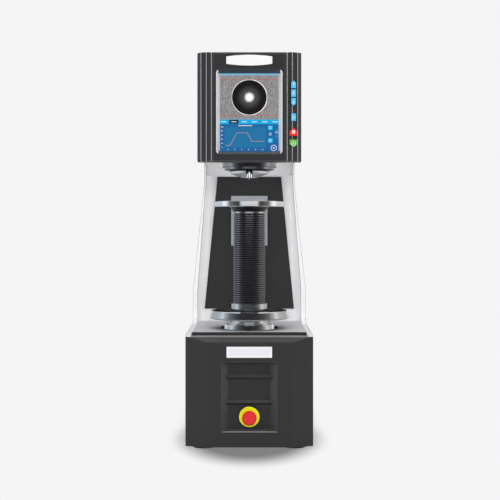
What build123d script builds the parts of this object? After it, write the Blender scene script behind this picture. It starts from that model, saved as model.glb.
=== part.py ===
from build123d import *
import math
import os

# A column-type hardness tester: a C-shaped steel frame under painted covers, an elevating
# screw with a handwheel below the test space, and a turret with the indenter above it.
# Millimetres. X points right, -Y points to the operator, +Z points up.
# The origin is at the centre of the footprint, on the bench.

# ---- Overall sizes ----
body_width = 280.0
body_depth = 560.0
foot_gap = 6.0
base_height = 239.0
deck_to_head = 377.6

# ---- General fits and sheet thicknesses ----
cover_wall = 4.0
sheet_wall = 2.0
seat_gap = 0.3
running_gap = 0.05
hidden_gap = 1.0

# ---- Base front cover ----
facet_width = 45.1
facet_depth = 17.0
bevel_rise = 10.0
bevel_run = 12.0
front_cover_depth = 51.0
pocket_width = 121.7
pocket_height = 151.5
pocket_bottom = 32.9
pocket_depth = 15.0
pocket_side_slope = 14.0
pocket_end_slope = 5.0
rib_crest = 7.5
rib_height = 9.8
rib_centres = (94.8, 150.5)
name_plate_width = 99.0
name_plate_height = 24.0
name_plate_centre = 207.3
name_plate_proud = 1.0

# ---- Emergency stop ----
estop_height = 64.5
estop_ring_d = 49.0
estop_ring_t = 2.0
estop_dial_d = 44.7
estop_dial_t = 0.8
estop_barrel_d = 22.0
estop_barrel_length = 26.0
estop_nut_d = 29.0
estop_nut_t = 6.0
estop_collar_d = 27.0
estop_collar_h = 7.0
estop_stem_d = 10.0
estop_stem_length = 32.0
estop_head_d = 31.4
estop_head_h = 13.0
estop_travel = 4.0

# ---- Deck over the base ----
deck_t = 7.0
deck_side_gap = 13.0
deck_trim_t = 3.0
cheek_top_rise = 4.0

# ---- Side cheeks (the white flanks of the C) ----
cheek_kink_height = 325.0
cheek_under_head = 2.0
cheek_taper_end = 590.0
cheek_base_t = 12.0
cheek_top_t = 4.6
cheek_fillet = 30.0
cheek_back_radius = 24.0
cheek_column_front = 333.0

# ---- Column ----
column_front = 357.0
column_facet_depth = 22.0
liner_facet_low = 8.9
liner_facet_high = 10.5
underside_rise = 16.4
underside_fillet = 30.0
panel_t = 3.0
panel_side_gap_low = 6.8
panel_side_gap_high = 16.8
panel_bottom = 30.5
panel_height = 330.3
plaque_width = 91.0
plaque_height = 124.2
plaque_bottom = 188.6

# ---- Steel frame inside the covers ----
frame_wall = 14.0
frame_side_gap = 45.0
base_plate_t = 12.0
base_plate_rise = 10.0
column_frame_gap = 8.0
arm_side_gap = 12.4
arm_frame_rise = 12.0
arm_frame_height = 46.0

# ---- Head cover and its fittings ----
head_depth = 58.0
plateau_margin = 10.3
ridge_offsets = (0.0, 11.3, 23.2)
ridge_edge_margin = 8.5
ridge_fall = 6.5
ridge_step = 2.2
head_top_radius = 7.0
bezel_side = 7.9
bezel_end = 6.3
bezel_bottom_margin = 15.4
bezel_radius = 7.0
screen_width = 128.2
screen_height = 170.4
screen_depth = 15.0
bezel_wall = 2.4
lcd_t = 9.0
badge_width = 100.0
badge_height = 23.3
badge_end_height = 15.8
badge_gap = 8.85
badge_top_margin = 6.85
badge_t = 1.6

# ---- Keys beside the display ----
key_offset = 14.1
key_proud = 4.0
key_clear = 0.35
key_travel = 0.8
key_flange = 1.3
key_flange_t = 1.5
small_key_width = 9.9
small_key_height = 16.0
large_key_width = 17.3
large_key_height = 17.0
key_point_share = 0.42
key_up_rise = 59.9
key_upper_function_rise = 40.7
key_down_rise = 21.7
key_lower_function_rise = -11.7
key_stop_rise = -43.3
key_start_rise = -69.0

# ---- Elevating screw group, on the spindle axis ----
spindle_back = 155.0
screw_d = 74.8
screw_length = 297.0
keyway_width = 10.0
keyway_depth = 5.0
nut_d = 82.9
nut_above_wheel = 16.0
nut_flange_d = 100.0
nut_flange_t = 6.0
collar_base_d = 119.0
collar_top_d = 115.0
collar_h = 10.0
collar_recess_d = 105.0
collar_recess_depth = 7.0
bearing_t = 5.0
bearing_wall = 8.0
wheel_above_collar = 13.0
wheel_h = 18.7
wheel_top_d = 176.0
wheel_bottom_d = 185.4
wheel_rim_t = 9.0
wheel_web_t = 6.0
wheel_dish = 5.0
guide_wall = 9.0
guide_length = 150.0
guide_gap = 0.4
collar_screw_count = 4
collar_screw_d = 6.0
collar_screw_head_h = 4.0
collar_screw_reach = 126.0

# ---- Anvil ----
ring_d = 76.6
ring_h = 3.0
boss_bottom_d = 73.0
boss_top_d = 90.0
boss_h = 10.5
anvil_d = 164.0
anvil_t = 12.5
anvil_stem_d = 25.0
anvil_stem_h = 32.0
test_gap = 51.0

# ---- Turret and indenter ----
turret_offset = 33.0
flange_d = 128.0
flange_step_d = 117.0
flange_bore_d = 98.0
flange_h = 20.0
flange_step_h = 5.7
dome_d = 95.0
dome_rim_h = 10.0
dome_lip_h = 2.0
dome_shoulder_d = 77.4
dome_shoulder_drop = 10.7
dome_drop = 18.8
nose_d = 34.0
notch_width = 16.0
indenter_reach = 5.5
indenter_d = 13.0
indenter_body_h = 15.0
indenter_cone_h = 4.5
indenter_tip_d = 3.0
indenter_shank_d = 6.35
holder_h = 6.0
objective_d = 18.0
objective_length = 16.0
objective_tip_d = 13.0
objective_tip_h = 4.0
axle_d = 16.0
axle_nut_d = 26.0
axle_nut_h = 5.0

# ---- Load train in the arm ----
ram_d = 30.0
ram_bore_d = 18.0
ram_disc_d = 92.0
ram_disc_t = 10.0
ram_cap_t = 8.0
camera_rise = 22.0
camera_d = 22.0
camera_length = 52.0
camera_body = 40.0
camera_window_d = 16.0
camera_foot = 4.0
cell_d = 46.0
cell_h = 24.0
ball_nut_d = 36.0
ball_nut_h = 22.0
ball_screw_d = 16.0
ball_screw_lead = 4.0
ram_stroke = 6.0
thrust_block_h = 16.0
screw_pulley_d = 60.0
motor_pulley_d = 20.0
pulley_h = 12.0
belt_t = 1.6
belt_width = 9.0
pulley_centres = 78.0
motor_body = 57.0
motor_length = 76.0
motor_shaft_d = 8.0
motor_flange_gap = 4.0
bridge_width = 100.0
bridge_depth = 44.0
bridge_wall = 8.0
shoulder_w = 5.0
shoulder_h = 4.0
pulley_flange = 1.5
pulley_flange_t = 1.2

# ---- Rear fittings ----
vent_count = 9
vent_width = 90.0
vent_h = 4.0
vent_pitch = 9.0
inlet_width = 48.0
inlet_height = 28.0
inlet_depth = 24.0
switch_width = 28.0
switch_height = 22.0
switch_depth = 20.0
rocker_angle = 9.0
socket_block_width = 60.0
socket_block_height = 22.0
socket_block_depth = 16.0
rear_fitting_height = 60.0
inlet_x = 78.0
socket_x = -50.0
vent_rise = 250.0
inlet_wall = 2.5
blade_pitch = 9.0
blade_rise = 4.0
blade_t = 1.0
blade_h = 6.0
rocker_t = 7.0
rocker_dip = 2.0
rocker_side_gap = 0.3
rocker_end_gap = 0.9
rocker_pin_d = 2.4
rocker_pin_reach = 1.6
rocker_proud = 0.5
socket_count = 4
socket_pitch = 14.0
socket_w = 11.0
socket_h = 9.0
socket_deep = 10.0

# ---- Electrics on the base's bottom plate ----
electrics_side_gap = 5.0
supply_depth = 150.0
supply_height = 52.0
electrics_gap = 4.0
supply_rear_gap = 26.0

# ---- Feet ----
foot_d = 50.0
foot_pad_h = 12.0
stud_d = 12.0
foot_inset_x = 40.0
foot_inset_y = 45.0

# ---- Margins and seats ----
rear_margin = 4.0
cheek_front_gap = 0.5
liner_gap = 0.4
flange_seat = 3.0
transport_bolt_d = 10.2
bolt_span_x = 160.0
bolt_span_y = 340.0
foot_pad_chamfer = 3.0
column_top_gap = 12.0
arm_front = 96.0
head_over_cheek = 6.0
plateau_shoulder = 4.0
plateau_fall = 3.0
ridge_outer_depth = 20.0
display_clear = 0.2
bezel_flange = 3.0
bezel_flange_t = 2.0
bezel_inner_radius = 0.8
lcd_border = 4.0
key_face_back = 2.0
key_corner = 1.2
board_t = 1.6
board_border = 8.0
board_post_d = 5.0
badge_corner = 1.0
contact_block_width = 30.0
contact_block_height = 38.0
contact_block_depth = 20.0
estop_journal_d = 6.0
estop_journal_length = 8.0
estop_bevel = 2.5
anvil_edge = 1.0
dome_bulge = 0.35

# ---- Planes and heights that follow from the sizes above ----
estop_reach = (
    estop_ring_t + estop_dial_t + estop_collar_h + estop_travel + 2 * seat_gap + estop_head_h
)
estop_proud = estop_reach - pocket_depth
front_y = -(body_depth + estop_proud) / 2 + estop_proud
back_y = front_y + body_depth
half_width = body_width / 2
front_flat_width = body_width - 2 * facet_width
deck_width = body_width - 2 * deck_side_gap
bezel_width = screen_width + 2 * bezel_side
bezel_height = screen_height + 2 * bezel_end
plateau_edge = bezel_width / 2 + plateau_margin
ridge_lines = [plateau_edge + offset for offset in ridge_offsets]
head_width = 2 * (ridge_lines[-1] + ridge_edge_margin)
badge_low = bezel_bottom_margin + bezel_height + badge_gap
head_height = badge_low + badge_height + badge_top_margin
key_x = plateau_edge + key_offset
cheek_top_width = head_width - 2 * cheek_under_head
liner_low_edge = half_width - cheek_base_t - liner_gap
liner_high_edge = cheek_top_width / 2 - cheek_top_t - liner_gap
column_flat_base_width = 2 * (liner_low_edge - liner_facet_low)
column_flat_top_width = 2 * (liner_high_edge - liner_facet_high)
panel_base_width = column_flat_base_width - 2 * panel_side_gap_low
panel_top_width = column_flat_top_width - 2 * panel_side_gap_high
spindle_y = front_y + spindle_back
turret_y = spindle_y + turret_offset
column_y = front_y + column_front
cheek_column_y = front_y + cheek_column_front
deck_front_y = front_y + front_cover_depth
head_back_y = front_y + head_depth

base_z = foot_gap
base_top_z = base_z + base_height
deck_z = base_top_z + deck_t
head_z = deck_z + deck_to_head
head_top_z = head_z + head_height
underside_z = head_z + underside_rise
plate_z = base_z + base_plate_rise
plate_top_z = plate_z + base_plate_t

flange_z = underside_z - flange_h - flange_step_h
dome_top_z = flange_z + dome_rim_h
nose_z = flange_z - dome_drop
tip_z = nose_z - indenter_reach
indenter_top_z = tip_z + indenter_body_h
holder_top_z = flange_z + holder_h
anvil_z = tip_z - test_gap
boss_z = anvil_z - anvil_t - boss_h
ring_z = boss_z - ring_h
screw_bottom_z = ring_z - screw_length
collar_z = deck_z + collar_h
wheel_z = collar_z + wheel_above_collar
nut_top_z = wheel_z + wheel_h + nut_above_wheel
bearing_z = collar_z - collar_recess_depth
nut_z = bearing_z + bearing_t + seat_gap
arm_frame_z = underside_z + arm_frame_rise
arm_frame_top_z = arm_frame_z + arm_frame_height
column_frame_y = column_y + column_frame_gap
cheek_top_z = head_top_z - head_over_cheek
column_frame_top = cheek_top_z - column_top_gap

axle_z = nose_z + axle_nut_h
ram_disc_z = dome_top_z + seat_gap
camera_z = arm_frame_top_z + camera_rise
ram_top_z = camera_z + camera_d / 2 + ram_cap_t
cell_top_z = ram_top_z + cell_h
ball_nut_z = cell_top_z + ball_nut_h
thrust_z = ball_nut_z + shoulder_h + 2 * hidden_gap
pulley_z = thrust_z + thrust_block_h + hidden_gap
motor_y = spindle_y + pulley_centres
motor_top_z = pulley_z - motor_flange_gap
objective_z = flange_z - dome_shoulder_drop

estop_collar_y = (
    front_y + pocket_depth - estop_ring_t - estop_dial_t - estop_collar_h
)
estop_head_y = estop_collar_y - estop_travel - seat_gap
bezel_z = head_z + bezel_bottom_margin + bezel_height / 2
key_flange_y = (
    front_y + ridge_outer_depth + cover_wall - key_flange_t + seat_gap
)
board_y = key_flange_y + key_flange_t + key_travel + seat_gap / 3
key_depth_y = key_flange_y + key_flange_t
fitting_z = base_z + rear_fitting_height
switch_x = inlet_x - (inlet_width + switch_width) / 2
rocker_y = back_y - rear_margin + sheet_wall + rocker_proud
rocker_axis_y = rocker_y - rocker_t / 2
vent_bottom_z = base_top_z + vent_rise

# Each key: width, height, which end is pointed (+1 up, -1 down, 0 neither), centre height.
small_key = (small_key_width, small_key_height)
large_key = (large_key_width, large_key_height)
keys = {
    "up": (*small_key, 1, bezel_z + key_up_rise),
    "upper_function": (*small_key, 0, bezel_z + key_upper_function_rise),
    "down": (*small_key, -1, bezel_z + key_down_rise),
    "lower_function": (*small_key, 0, bezel_z + key_lower_function_rise),
    "stop": (*large_key, 1, bezel_z + key_stop_rise),
    "start": (*large_key, -1, bezel_z + key_start_rise),
}
low_function_bottom = bezel_z + key_lower_function_rise - small_key_height / 2
stop_key_top = bezel_z + key_stop_rise + large_key_height / 2
board_mid_z = (low_function_bottom + stop_key_top) / 2


def block(x0, x1, y0, y1, z0, z1):
    """A box between two corners."""
    size = Box(x1 - x0, y1 - y0, z1 - z0)
    return Pos((x0 + x1) / 2, (y0 + y1) / 2, (z0 + z1) / 2) * size


def disc(diameter, x, y, z0, z1):
    """An upright cylinder between two heights."""
    return Pos(x, y, (z0 + z1) / 2) * Cylinder(diameter / 2, z1 - z0)


def cone(d0, d1, x, y, z0, z1):
    """An upright frustum from diameter d0 at z0 to d1 at z1."""
    return Pos(x, y, (z0 + z1) / 2) * Cone(d0 / 2, d1 / 2, z1 - z0)


def rod_y(diameter, x, z, y0, y1):
    """A cylinder that lies along Y."""
    return Pos(x, (y0 + y1) / 2, z) * Rot(90, 0, 0) * Cylinder(diameter / 2, y1 - y0)


def rod_x(diameter, y, z, x0, x1):
    """A cylinder that lies along X."""
    return Pos((x0 + x1) / 2, y, z) * Rot(0, 90, 0) * Cylinder(diameter / 2, x1 - x0)


def upright_prism(points, z0, z1):
    """A prism whose outline is given in plan and which stands from z0 to z1."""
    face = make_face(Polyline(*points, close=True))
    return Pos(0, 0, z0) * extrude(face, z1 - z0, dir=(0, 0, 1))


def side_prism(points, x0, x1):
    """A prism whose outline is given as (y, z) and which spans x0 to x1."""
    face = make_face(Plane.YZ * Polyline(*points, close=True))
    return Pos(x0, 0, 0) * extrude(face, x1 - x0, dir=(1, 0, 0))


def front_prism(points, y0, y1):
    """A prism whose outline is given as (x, z) and which spans y0 to y1."""
    face = make_face(Polyline(*[(x, 0, z) for x, z in points], close=True))
    return Pos(0, y0, 0) * extrude(face, y1 - y0, dir=(0, 1, 0))


def turned(points, x, y):
    """A solid of revolution about an upright axis, from (radius, height) points."""
    face = make_face(Polyline(*[(r, 0, z) for r, z in points], close=True))
    return Pos(x, y, 0) * revolve(face, Axis.Z, 360)


def ring(outer_d, inner_d, x, y, z0, z1):
    """An upright tube."""
    bore_slack = 1.0
    hole = disc(inner_d, x, y, z0 - bore_slack, z1 + bore_slack)
    return disc(outer_d, x, y, z0, z1) - hole


def frustum_y(w0, h0, w1, h1, x, z, y0, y1):
    """A pocket shape with a w0 by h0 rectangle at y0 and a w1 by h1 one at y1."""
    first = Pos(x, y0, z) * Rot(90, 0, 0) * Rectangle(w0, h0)
    last = Pos(x, y1, z) * Rot(90, 0, 0) * Rectangle(w1, h1)
    return loft([first, last], ruled=True)


# ---- Base ----
cut_slack = 2.0
pocket_z = base_z + pocket_bottom + pocket_height / 2
pocket_floor_width = pocket_width - 2 * pocket_side_slope
pocket_floor_height = pocket_height - 2 * pocket_end_slope
pocket_floor_y = front_y + pocket_depth
estop_z = base_z + estop_height
facet_x = front_flat_width / 2


def front_outline(inset, y1):
    """The plan of the faceted front, moved inwards by an inset, back to y1."""
    run = half_width - facet_x
    shift = inset * (math.hypot(run, facet_depth) - facet_depth) / run
    inner_x = facet_x - shift
    side_x = half_width - inset
    side_y = front_y + inset + (side_x - inner_x) * facet_depth / run
    return [
        (-side_x, y1), (-side_x, side_y), (-inner_x, front_y + inset),
        (inner_x, front_y + inset), (side_x, side_y), (side_x, y1),
    ]


def bevel_cut(inset):
    """The wedge that bevels the top front edge, for the outer or the inner skin."""
    slope = bevel_rise / bevel_run
    drop = inset * math.hypot(1, slope)
    y0 = front_y - cut_slack
    y1 = front_y + bevel_run + 2 * inset + cut_slack
    z0 = base_top_z - bevel_rise - cut_slack * slope - drop
    z1 = z0 + (y1 - y0) * slope
    return side_prism([(y0, z0), (y1, z1), (y0, z1)], -body_width, body_width)


def rib(centre):
    """A triangular rib across the pocket, whose ends run into its slanted sides."""
    z = base_z + centre
    root = rib_height / 2 + rib_crest / 3
    crest_y = pocket_floor_y - rib_crest
    web_y = pocket_floor_y + cover_wall / 2
    outline = [(crest_y, z + rib_height / 6), (web_y, z + root), (web_y, z - root)]
    bar = side_prism(outline, -pocket_width / 2, pocket_width / 2)
    space = frustum_y(
        pocket_width + cover_wall, pocket_height + cover_wall,
        pocket_floor_width + cover_wall, pocket_floor_height + cover_wall,
        0, pocket_z, front_y, pocket_floor_y + cover_wall,
    )
    return bar & space


def make_base_front_cover():
    """The dark moulded front: facets, bevelled brow, framed pocket with two ribs."""
    y1 = deck_front_y - seat_gap
    shell = upright_prism(front_outline(0, y1), base_z, base_top_z) - bevel_cut(0)
    inner = upright_prism(
        front_outline(cover_wall, y1 + cut_slack), base_z - cut_slack, base_top_z - cover_wall
    )
    shell = shell - (inner - bevel_cut(cover_wall))
    tub = frustum_y(
        pocket_width + 2 * cover_wall, pocket_height + 2 * cover_wall,
        pocket_floor_width + 2 * cover_wall, pocket_floor_height + 2 * cover_wall,
        0, pocket_z, front_y, pocket_floor_y + cover_wall,
    )
    pocket = frustum_y(
        pocket_width, pocket_height, pocket_floor_width, pocket_floor_height,
        0, pocket_z, front_y, pocket_floor_y,
    )
    shell = shell + tub - pocket
    for centre in rib_centres:
        shell = shell + rib(centre)
    barrel_hole = rod_y(
        estop_barrel_d + 2 * seat_gap, 0, estop_z,
        pocket_floor_y - cut_slack, pocket_floor_y + cover_wall + cut_slack,
    )
    return shell - barrel_hole


def make_name_plate():
    """The blank plate above the pocket."""
    z = base_z + name_plate_centre
    return block(
        -name_plate_width / 2, name_plate_width / 2,
        front_y - name_plate_proud, front_y,
        z - name_plate_height / 2, z + name_plate_height / 2,
    )


def make_top_plate():
    """The light deck plate that the spindle collar stands on."""
    plate = block(
        -deck_width / 2, deck_width / 2,
        deck_front_y + deck_trim_t, column_y, base_top_z, deck_z,
    )
    return plate - disc(
        screw_d + 2 * guide_gap + 2 * guide_wall, 0, spindle_y,
        base_top_z - cut_slack, deck_z + cut_slack,
    )


def make_top_plate_trim():
    """The dark strip along the deck plate's front edge."""
    return block(
        -deck_width / 2, deck_width / 2,
        deck_front_y, deck_front_y + deck_trim_t, base_top_z, deck_z,
    )


frame_x = half_width - frame_side_gap
upper_frame_x = cheek_top_width / 2 - cheek_top_t - arm_side_gap
supply_width = frame_x - frame_wall - electrics_side_gap
frame_front_y = front_y + front_cover_depth + frame_wall
frame_back_y = back_y - socket_block_depth - inlet_depth
supply_y = frame_back_y - frame_wall - supply_rear_gap - supply_depth


def base_plate():
    """The thick bottom plate, tapped for four feet and four transport bolts."""
    plate = block(
        -half_width + cheek_base_t + hidden_gap, half_width - cheek_base_t - hidden_gap,
        front_y + facet_depth + 2 * cover_wall,
        back_y - rear_margin - sheet_wall - hidden_gap, plate_z, plate_top_z,
    )
    for x, y in foot_places():
        plate = plate - disc(stud_d, x, y, plate_z - cut_slack, plate_top_z + cut_slack)
    for x, y in bolt_places():
        plate = plate - disc(
            transport_bolt_d, x, y, plate_z - cut_slack, plate_top_z + cut_slack
        )
    return plate


def foot_places():
    """The four corners where the levelling feet screw in."""
    x = half_width - foot_inset_x
    return [
        (sx * x, y)
        for sx in (-1, 1)
        for y in (front_y + foot_inset_y, back_y - foot_inset_y)
    ]


def bolt_places():
    """The four tapped transport holes, centred on the footprint."""
    return [
        (sx * bolt_span_x / 2, (front_y + back_y) / 2 + sy * bolt_span_y / 2)
        for sx in (-1, 1)
        for sy in (-1, 1)
    ]


def make_levelling_feet():
    """Four feet: a round pad on the bench and the stud that screws into the base."""
    return [
        cone(foot_d, foot_d - 2 * foot_pad_chamfer, x, y, 0, foot_pad_h)
        + disc(stud_d, x, y, foot_pad_h, plate_top_z)
        for x, y in foot_places()
    ]


def make_base_frame():
    """The steel box that carries the spindle and the column."""
    box = block(
        -frame_x, frame_x, frame_front_y, frame_back_y, plate_top_z, base_top_z
    )
    room = block(
        -frame_x + frame_wall, frame_x - frame_wall,
        frame_front_y + frame_wall, frame_back_y - frame_wall,
        plate_top_z - cut_slack, base_top_z - frame_wall,
    )
    bore = disc(
        screw_d + 2 * guide_gap + 2 * guide_wall, 0, spindle_y,
        base_top_z - 2 * frame_wall, base_top_z + cut_slack,
    )
    return box - room - bore + base_plate()


def make_guide_tube():
    """The guide tube that hangs in the base, with the key that stops the screw turning."""
    outer_d = screw_d + 2 * guide_gap + 2 * guide_wall
    tube = ring(outer_d, screw_d + 2 * guide_gap, 0, spindle_y, deck_z - guide_length, deck_z)
    key_y = spindle_y + screw_d / 2
    key = block(
        -keyway_width / 2 + seat_gap, keyway_width / 2 - seat_gap,
        key_y - keyway_depth + seat_gap, key_y + guide_wall / 2,
        deck_z - guide_length, deck_z,
    )
    return tube + key


def make_upper_frame():
    """The upright steel box at the back of the C, with the arm welded to it."""
    box = block(
        -upper_frame_x, upper_frame_x, column_frame_y, frame_back_y, base_top_z, column_frame_top
    )
    room = block(
        -upper_frame_x + frame_wall, upper_frame_x - frame_wall,
        column_frame_y + frame_wall, frame_back_y - frame_wall,
        base_top_z - cut_slack, column_frame_top + cut_slack,
    )
    return box - room + arm()


def arm():
    """The steel arm that reaches forward over the spindle, with the ram's bore."""
    beam = block(
        -upper_frame_x, upper_frame_x, front_y + arm_front, column_frame_y,
        arm_frame_z, arm_frame_top_z,
    )
    bore = disc(
        ram_d + 2 * running_gap, 0, spindle_y, arm_frame_z - cut_slack,
        arm_frame_top_z + cut_slack,
    )
    return beam - bore


def cheek_outline():
    """The right cheek seen from the front: upright, then leaning in, then upright."""
    kink_z = base_z + cheek_kink_height
    end_z = base_z + cheek_taper_end
    top_x = cheek_top_width / 2
    inner_x = half_width - cheek_base_t
    return [
        (half_width, base_z), (half_width, kink_z), (top_x, end_z), (top_x, cheek_top_z),
        (top_x - cheek_top_t, cheek_top_z), (top_x - cheek_top_t, end_z),
        (inner_x, kink_z), (inner_x, base_z),
    ]


def cheek_side():
    """The C of a cheek seen from the side, whose foot reaches forward over the cover."""
    low_z = base_top_z + cheek_top_rise
    toe_y = front_y + facet_depth + cheek_front_gap
    back = back_y - rear_margin
    face = make_face(Plane.YZ * Polyline(
        (deck_front_y, base_z), (back, base_z), (back, cheek_top_z),
        (head_back_y, cheek_top_z), (head_back_y, underside_z),
        (cheek_column_y, underside_z), (cheek_column_y, low_z), (toe_y, low_z),
        (toe_y, base_top_z), (deck_front_y, base_top_z), close=True,
    ))
    corners = {
        (cheek_column_y, underside_z): cheek_fillet,
        (cheek_column_y, low_z): cheek_fillet,
        (back, cheek_top_z): cheek_back_radius,
    }
    for (y, z), radius in corners.items():
        at = face.vertices().sort_by_distance((0, y, z))[0]
        face = fillet(at, radius)
    return Pos(-body_width, 0, 0) * extrude(face, 2 * body_width, dir=(1, 0, 0))


def make_side_cheek_right():
    """The white flank on the right: its C outline, leaning in above the kink."""
    slab = front_prism(cheek_outline(), front_y, back_y)
    return slab & cheek_side()


def make_side_cheek_left():
    """The white flank on the left, the mirror of the right one."""
    return make_side_cheek_right().mirror(Plane.YZ)


def liner_section(flat_width, z):
    """The column liner's plan at one height: a flat with two facets turned forward."""
    flat_x = flat_width / 2
    edge_x = liner_edge_x(z)
    y = column_y
    y_edge = column_y - column_facet_depth
    points = [
        (-edge_x, y_edge), (-flat_x, y), (flat_x, y), (edge_x, y_edge),
        (edge_x, y_edge + cover_wall * 2), (flat_x, y + cover_wall),
        (-flat_x, y + cover_wall), (-edge_x, y_edge + cover_wall * 2),
    ]
    return Pos(0, 0, z) * make_face(Polyline(*points, close=True))


def liner_edge_x(z):
    """How far from the middle the liner meets the cheek at a height."""
    kink_z = base_z + cheek_kink_height
    end_z = base_z + cheek_taper_end
    low_x = half_width - cheek_base_t
    top_x = cheek_top_width / 2 - cheek_top_t
    share = min(max((z - kink_z) / (end_z - kink_z), 0), 1)
    return low_x + (top_x - low_x) * share - liner_gap


def make_column_liner():
    """The light front of the column between the cheeks, in three lofted lengths."""
    heights = [
        deck_z, base_z + cheek_kink_height, base_z + cheek_taper_end,
        underside_z - underside_fillet,
    ]
    run = heights[-1] - heights[0]
    fall = column_flat_base_width - column_flat_top_width
    widths = [column_flat_base_width - fall * (z - heights[0]) / run for z in heights]
    sections = [liner_section(w, z) for w, z in zip(widths, heights)]
    liner = loft([sections[0], sections[1]], ruled=True)
    for low, high in zip(sections[1:-1], sections[2:]):
        liner = liner + loft([low, high], ruled=True)
    return liner


def make_arm_underside():
    """The light soffit under the arm, which curves down into the column."""
    x = cheek_top_width / 2 - cheek_top_t - liner_gap
    low_z = underside_z - underside_fillet
    inner = front_y + screen_depth + lcd_t + hidden_gap
    t = cover_wall
    with BuildPart() as sheet:
        with BuildSketch(Plane.YZ):
            with BuildLine():
                a = Line((column_y + t, low_z), (column_y, low_z))
                b = RadiusArc(a @ 1, (column_y - underside_fillet, underside_z), -underside_fillet)
                c = Line(b @ 1, (inner, underside_z))
                d = Line(c @ 1, (inner, underside_z + t))
                e = Line(d @ 1, (column_y - underside_fillet, underside_z + t))
                RadiusArc(e @ 1, a @ 0, underside_fillet + t)
            make_face()
        extrude(amount=x, both=True)
    body = sheet.part
    port = disc(
        flange_d - 2 * flange_seat, 0, turret_y, underside_z - cut_slack,
        underside_z + t + cut_slack,
    )
    return body - port


def make_column_panel():
    """The dark trapezoid panel on the column's face."""
    z0 = deck_z + panel_bottom
    z1 = z0 + panel_height
    b = panel_base_width / 2
    t = panel_top_width / 2
    outline = [(-b, z0), (b, z0), (t, z1), (-t, z1)]
    return front_prism(outline, column_y - panel_t, column_y)


def make_column_plaque():
    """The blank silver plaque on the dark panel."""
    z0 = deck_z + plaque_bottom
    y = column_y - panel_t
    return block(
        -plaque_width / 2, plaque_width / 2, y - sheet_wall, y, z0, z0 + plaque_height
    )


# ---- Rear and head covers ----
def between_cheeks(gap):
    """The space between the cheeks seen from the front, less a gap on each side."""
    kink_z = base_z + cheek_kink_height
    end_z = base_z + cheek_taper_end
    low_x = half_width - cheek_base_t - gap
    top_x = cheek_top_width / 2 - cheek_top_t - gap
    right = [(low_x, base_z), (low_x, kink_z), (top_x, end_z), (top_x, cheek_top_z)]
    return right + [(-x, z) for x, z in reversed(right)]


def make_rear_cover():
    """The light sheet that closes the back and bends over the top of the arm."""
    back = back_y - rear_margin
    r = cheek_back_radius
    t = sheet_wall
    with BuildPart() as sheet:
        with BuildSketch(Plane.YZ):
            with BuildLine():
                a = Line((back - t, base_z), (back, base_z))
                b = Line(a @ 1, (back, cheek_top_z - r))
                c = RadiusArc(b @ 1, (back - r, cheek_top_z), -r)
                d = Line(c @ 1, (head_back_y, cheek_top_z))
                e = Line(d @ 1, (head_back_y, cheek_top_z - t))
                f = Line(e @ 1, (back - r, cheek_top_z - t))
                g = RadiusArc(f @ 1, (back - t, cheek_top_z - r), r - t)
                Line(g @ 1, a @ 0)
            make_face()
        extrude(amount=body_width, both=True)
    cover = sheet.part & front_prism(between_cheeks(liner_gap), front_y, back_y)
    for i in range(vent_count):
        z = vent_bottom_z + i * vent_pitch
        cover = cover - block(
            -vent_width / 2, vent_width / 2, back - t - cut_slack, back + cut_slack,
            z, z + vent_h,
        )
    for x, width, height in rear_fittings():
        cover = cover - block(
            x - width / 2, x + width / 2, back - t - cut_slack, back + cut_slack,
            fitting_z - height / 2, fitting_z + height / 2,
        )
    return cover


def rear_fittings():
    """Centre, width and height of each opening in the row of rear fittings."""
    return [
        (inlet_x, inlet_width, inlet_height),
        (switch_x, switch_width, switch_height),
        (socket_x, socket_block_width, socket_block_height),
    ]


def head_half_outline():
    """The plan of the hood's front from the middle to the right edge."""
    y = front_y + plateau_fall
    points = [(ridge_lines[0] - plateau_shoulder, front_y)]
    for x in ridge_lines:
        points += [(x, y), (x, y - ridge_step)]
        y = y - ridge_step + ridge_fall
    return points + [(head_width / 2, front_y + ridge_outer_depth), (head_width / 2, head_back_y)]


def head_room_outline():
    """The plan of the hollow inside the hood, right half."""
    side = head_width / 2 - cover_wall
    return [
        (ridge_lines[0] - plateau_shoulder, front_y + cover_wall),
        (side, front_y + ridge_outer_depth + cover_wall),
        (side, head_back_y + cut_slack),
    ]


def mirrored(points):
    """A symmetric outline from its right half."""
    return points + [(-x, y) for x, y in reversed(points)]


def head_room():
    """The hollow inside the hood as a solid."""
    return upright_prism(
        mirrored(head_room_outline()), head_z + cover_wall, head_top_z - cover_wall
    )


def key_outline(width, height, point):
    """A key's face: a square, or one whose top (+1) or bottom (-1) comes to a point."""
    w = width / 2
    h = height / 2
    if point == 0:
        return [(-w, -h), (w, -h), (w, h), (-w, h)]
    shoulder = h - key_point_share * width
    return [
        (w, -h * point), (w, shoulder * point), (0, h * point),
        (-w, shoulder * point), (-w, -h * point),
    ]


def key_prism(key, grow, y0, y1):
    """One key's outline, grown all round, as a prism along Y."""
    width, height, point, z = key
    outline = key_outline(width + 2 * grow, height + 2 * grow, point)
    return front_prism([(key_x + dx, z + dz) for dx, dz in outline], y0, y1)


def make_head_cover():
    """The dark hood: ridged flanks, display window, key holes and a rounded brow."""
    outer = upright_prism(mirrored(head_half_outline()), head_z, head_top_z)
    side = make_face(Plane.YZ * Polyline(
        (front_y, head_z), (head_back_y, head_z), (head_back_y, head_top_z),
        (front_y, head_top_z), close=True,
    ))
    brow = side.vertices().sort_by_distance((0, front_y, head_top_z))[0]
    side = fillet(brow, head_top_radius)
    hood = outer & (Pos(-head_width, 0, 0) * extrude(side, 2 * head_width, dir=(1, 0, 0)))
    hood = hood - head_room()
    window = rounded_y(
        bezel_width + 2 * display_clear, bezel_height + 2 * display_clear,
        bezel_radius + display_clear, bezel_z, front_y - cut_slack, key_depth_y,
    )
    hood = hood - window
    for key in keys.values():
        hood = hood - key_prism(key, key_clear, front_y - cut_slack, key_depth_y)
    return hood


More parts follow.
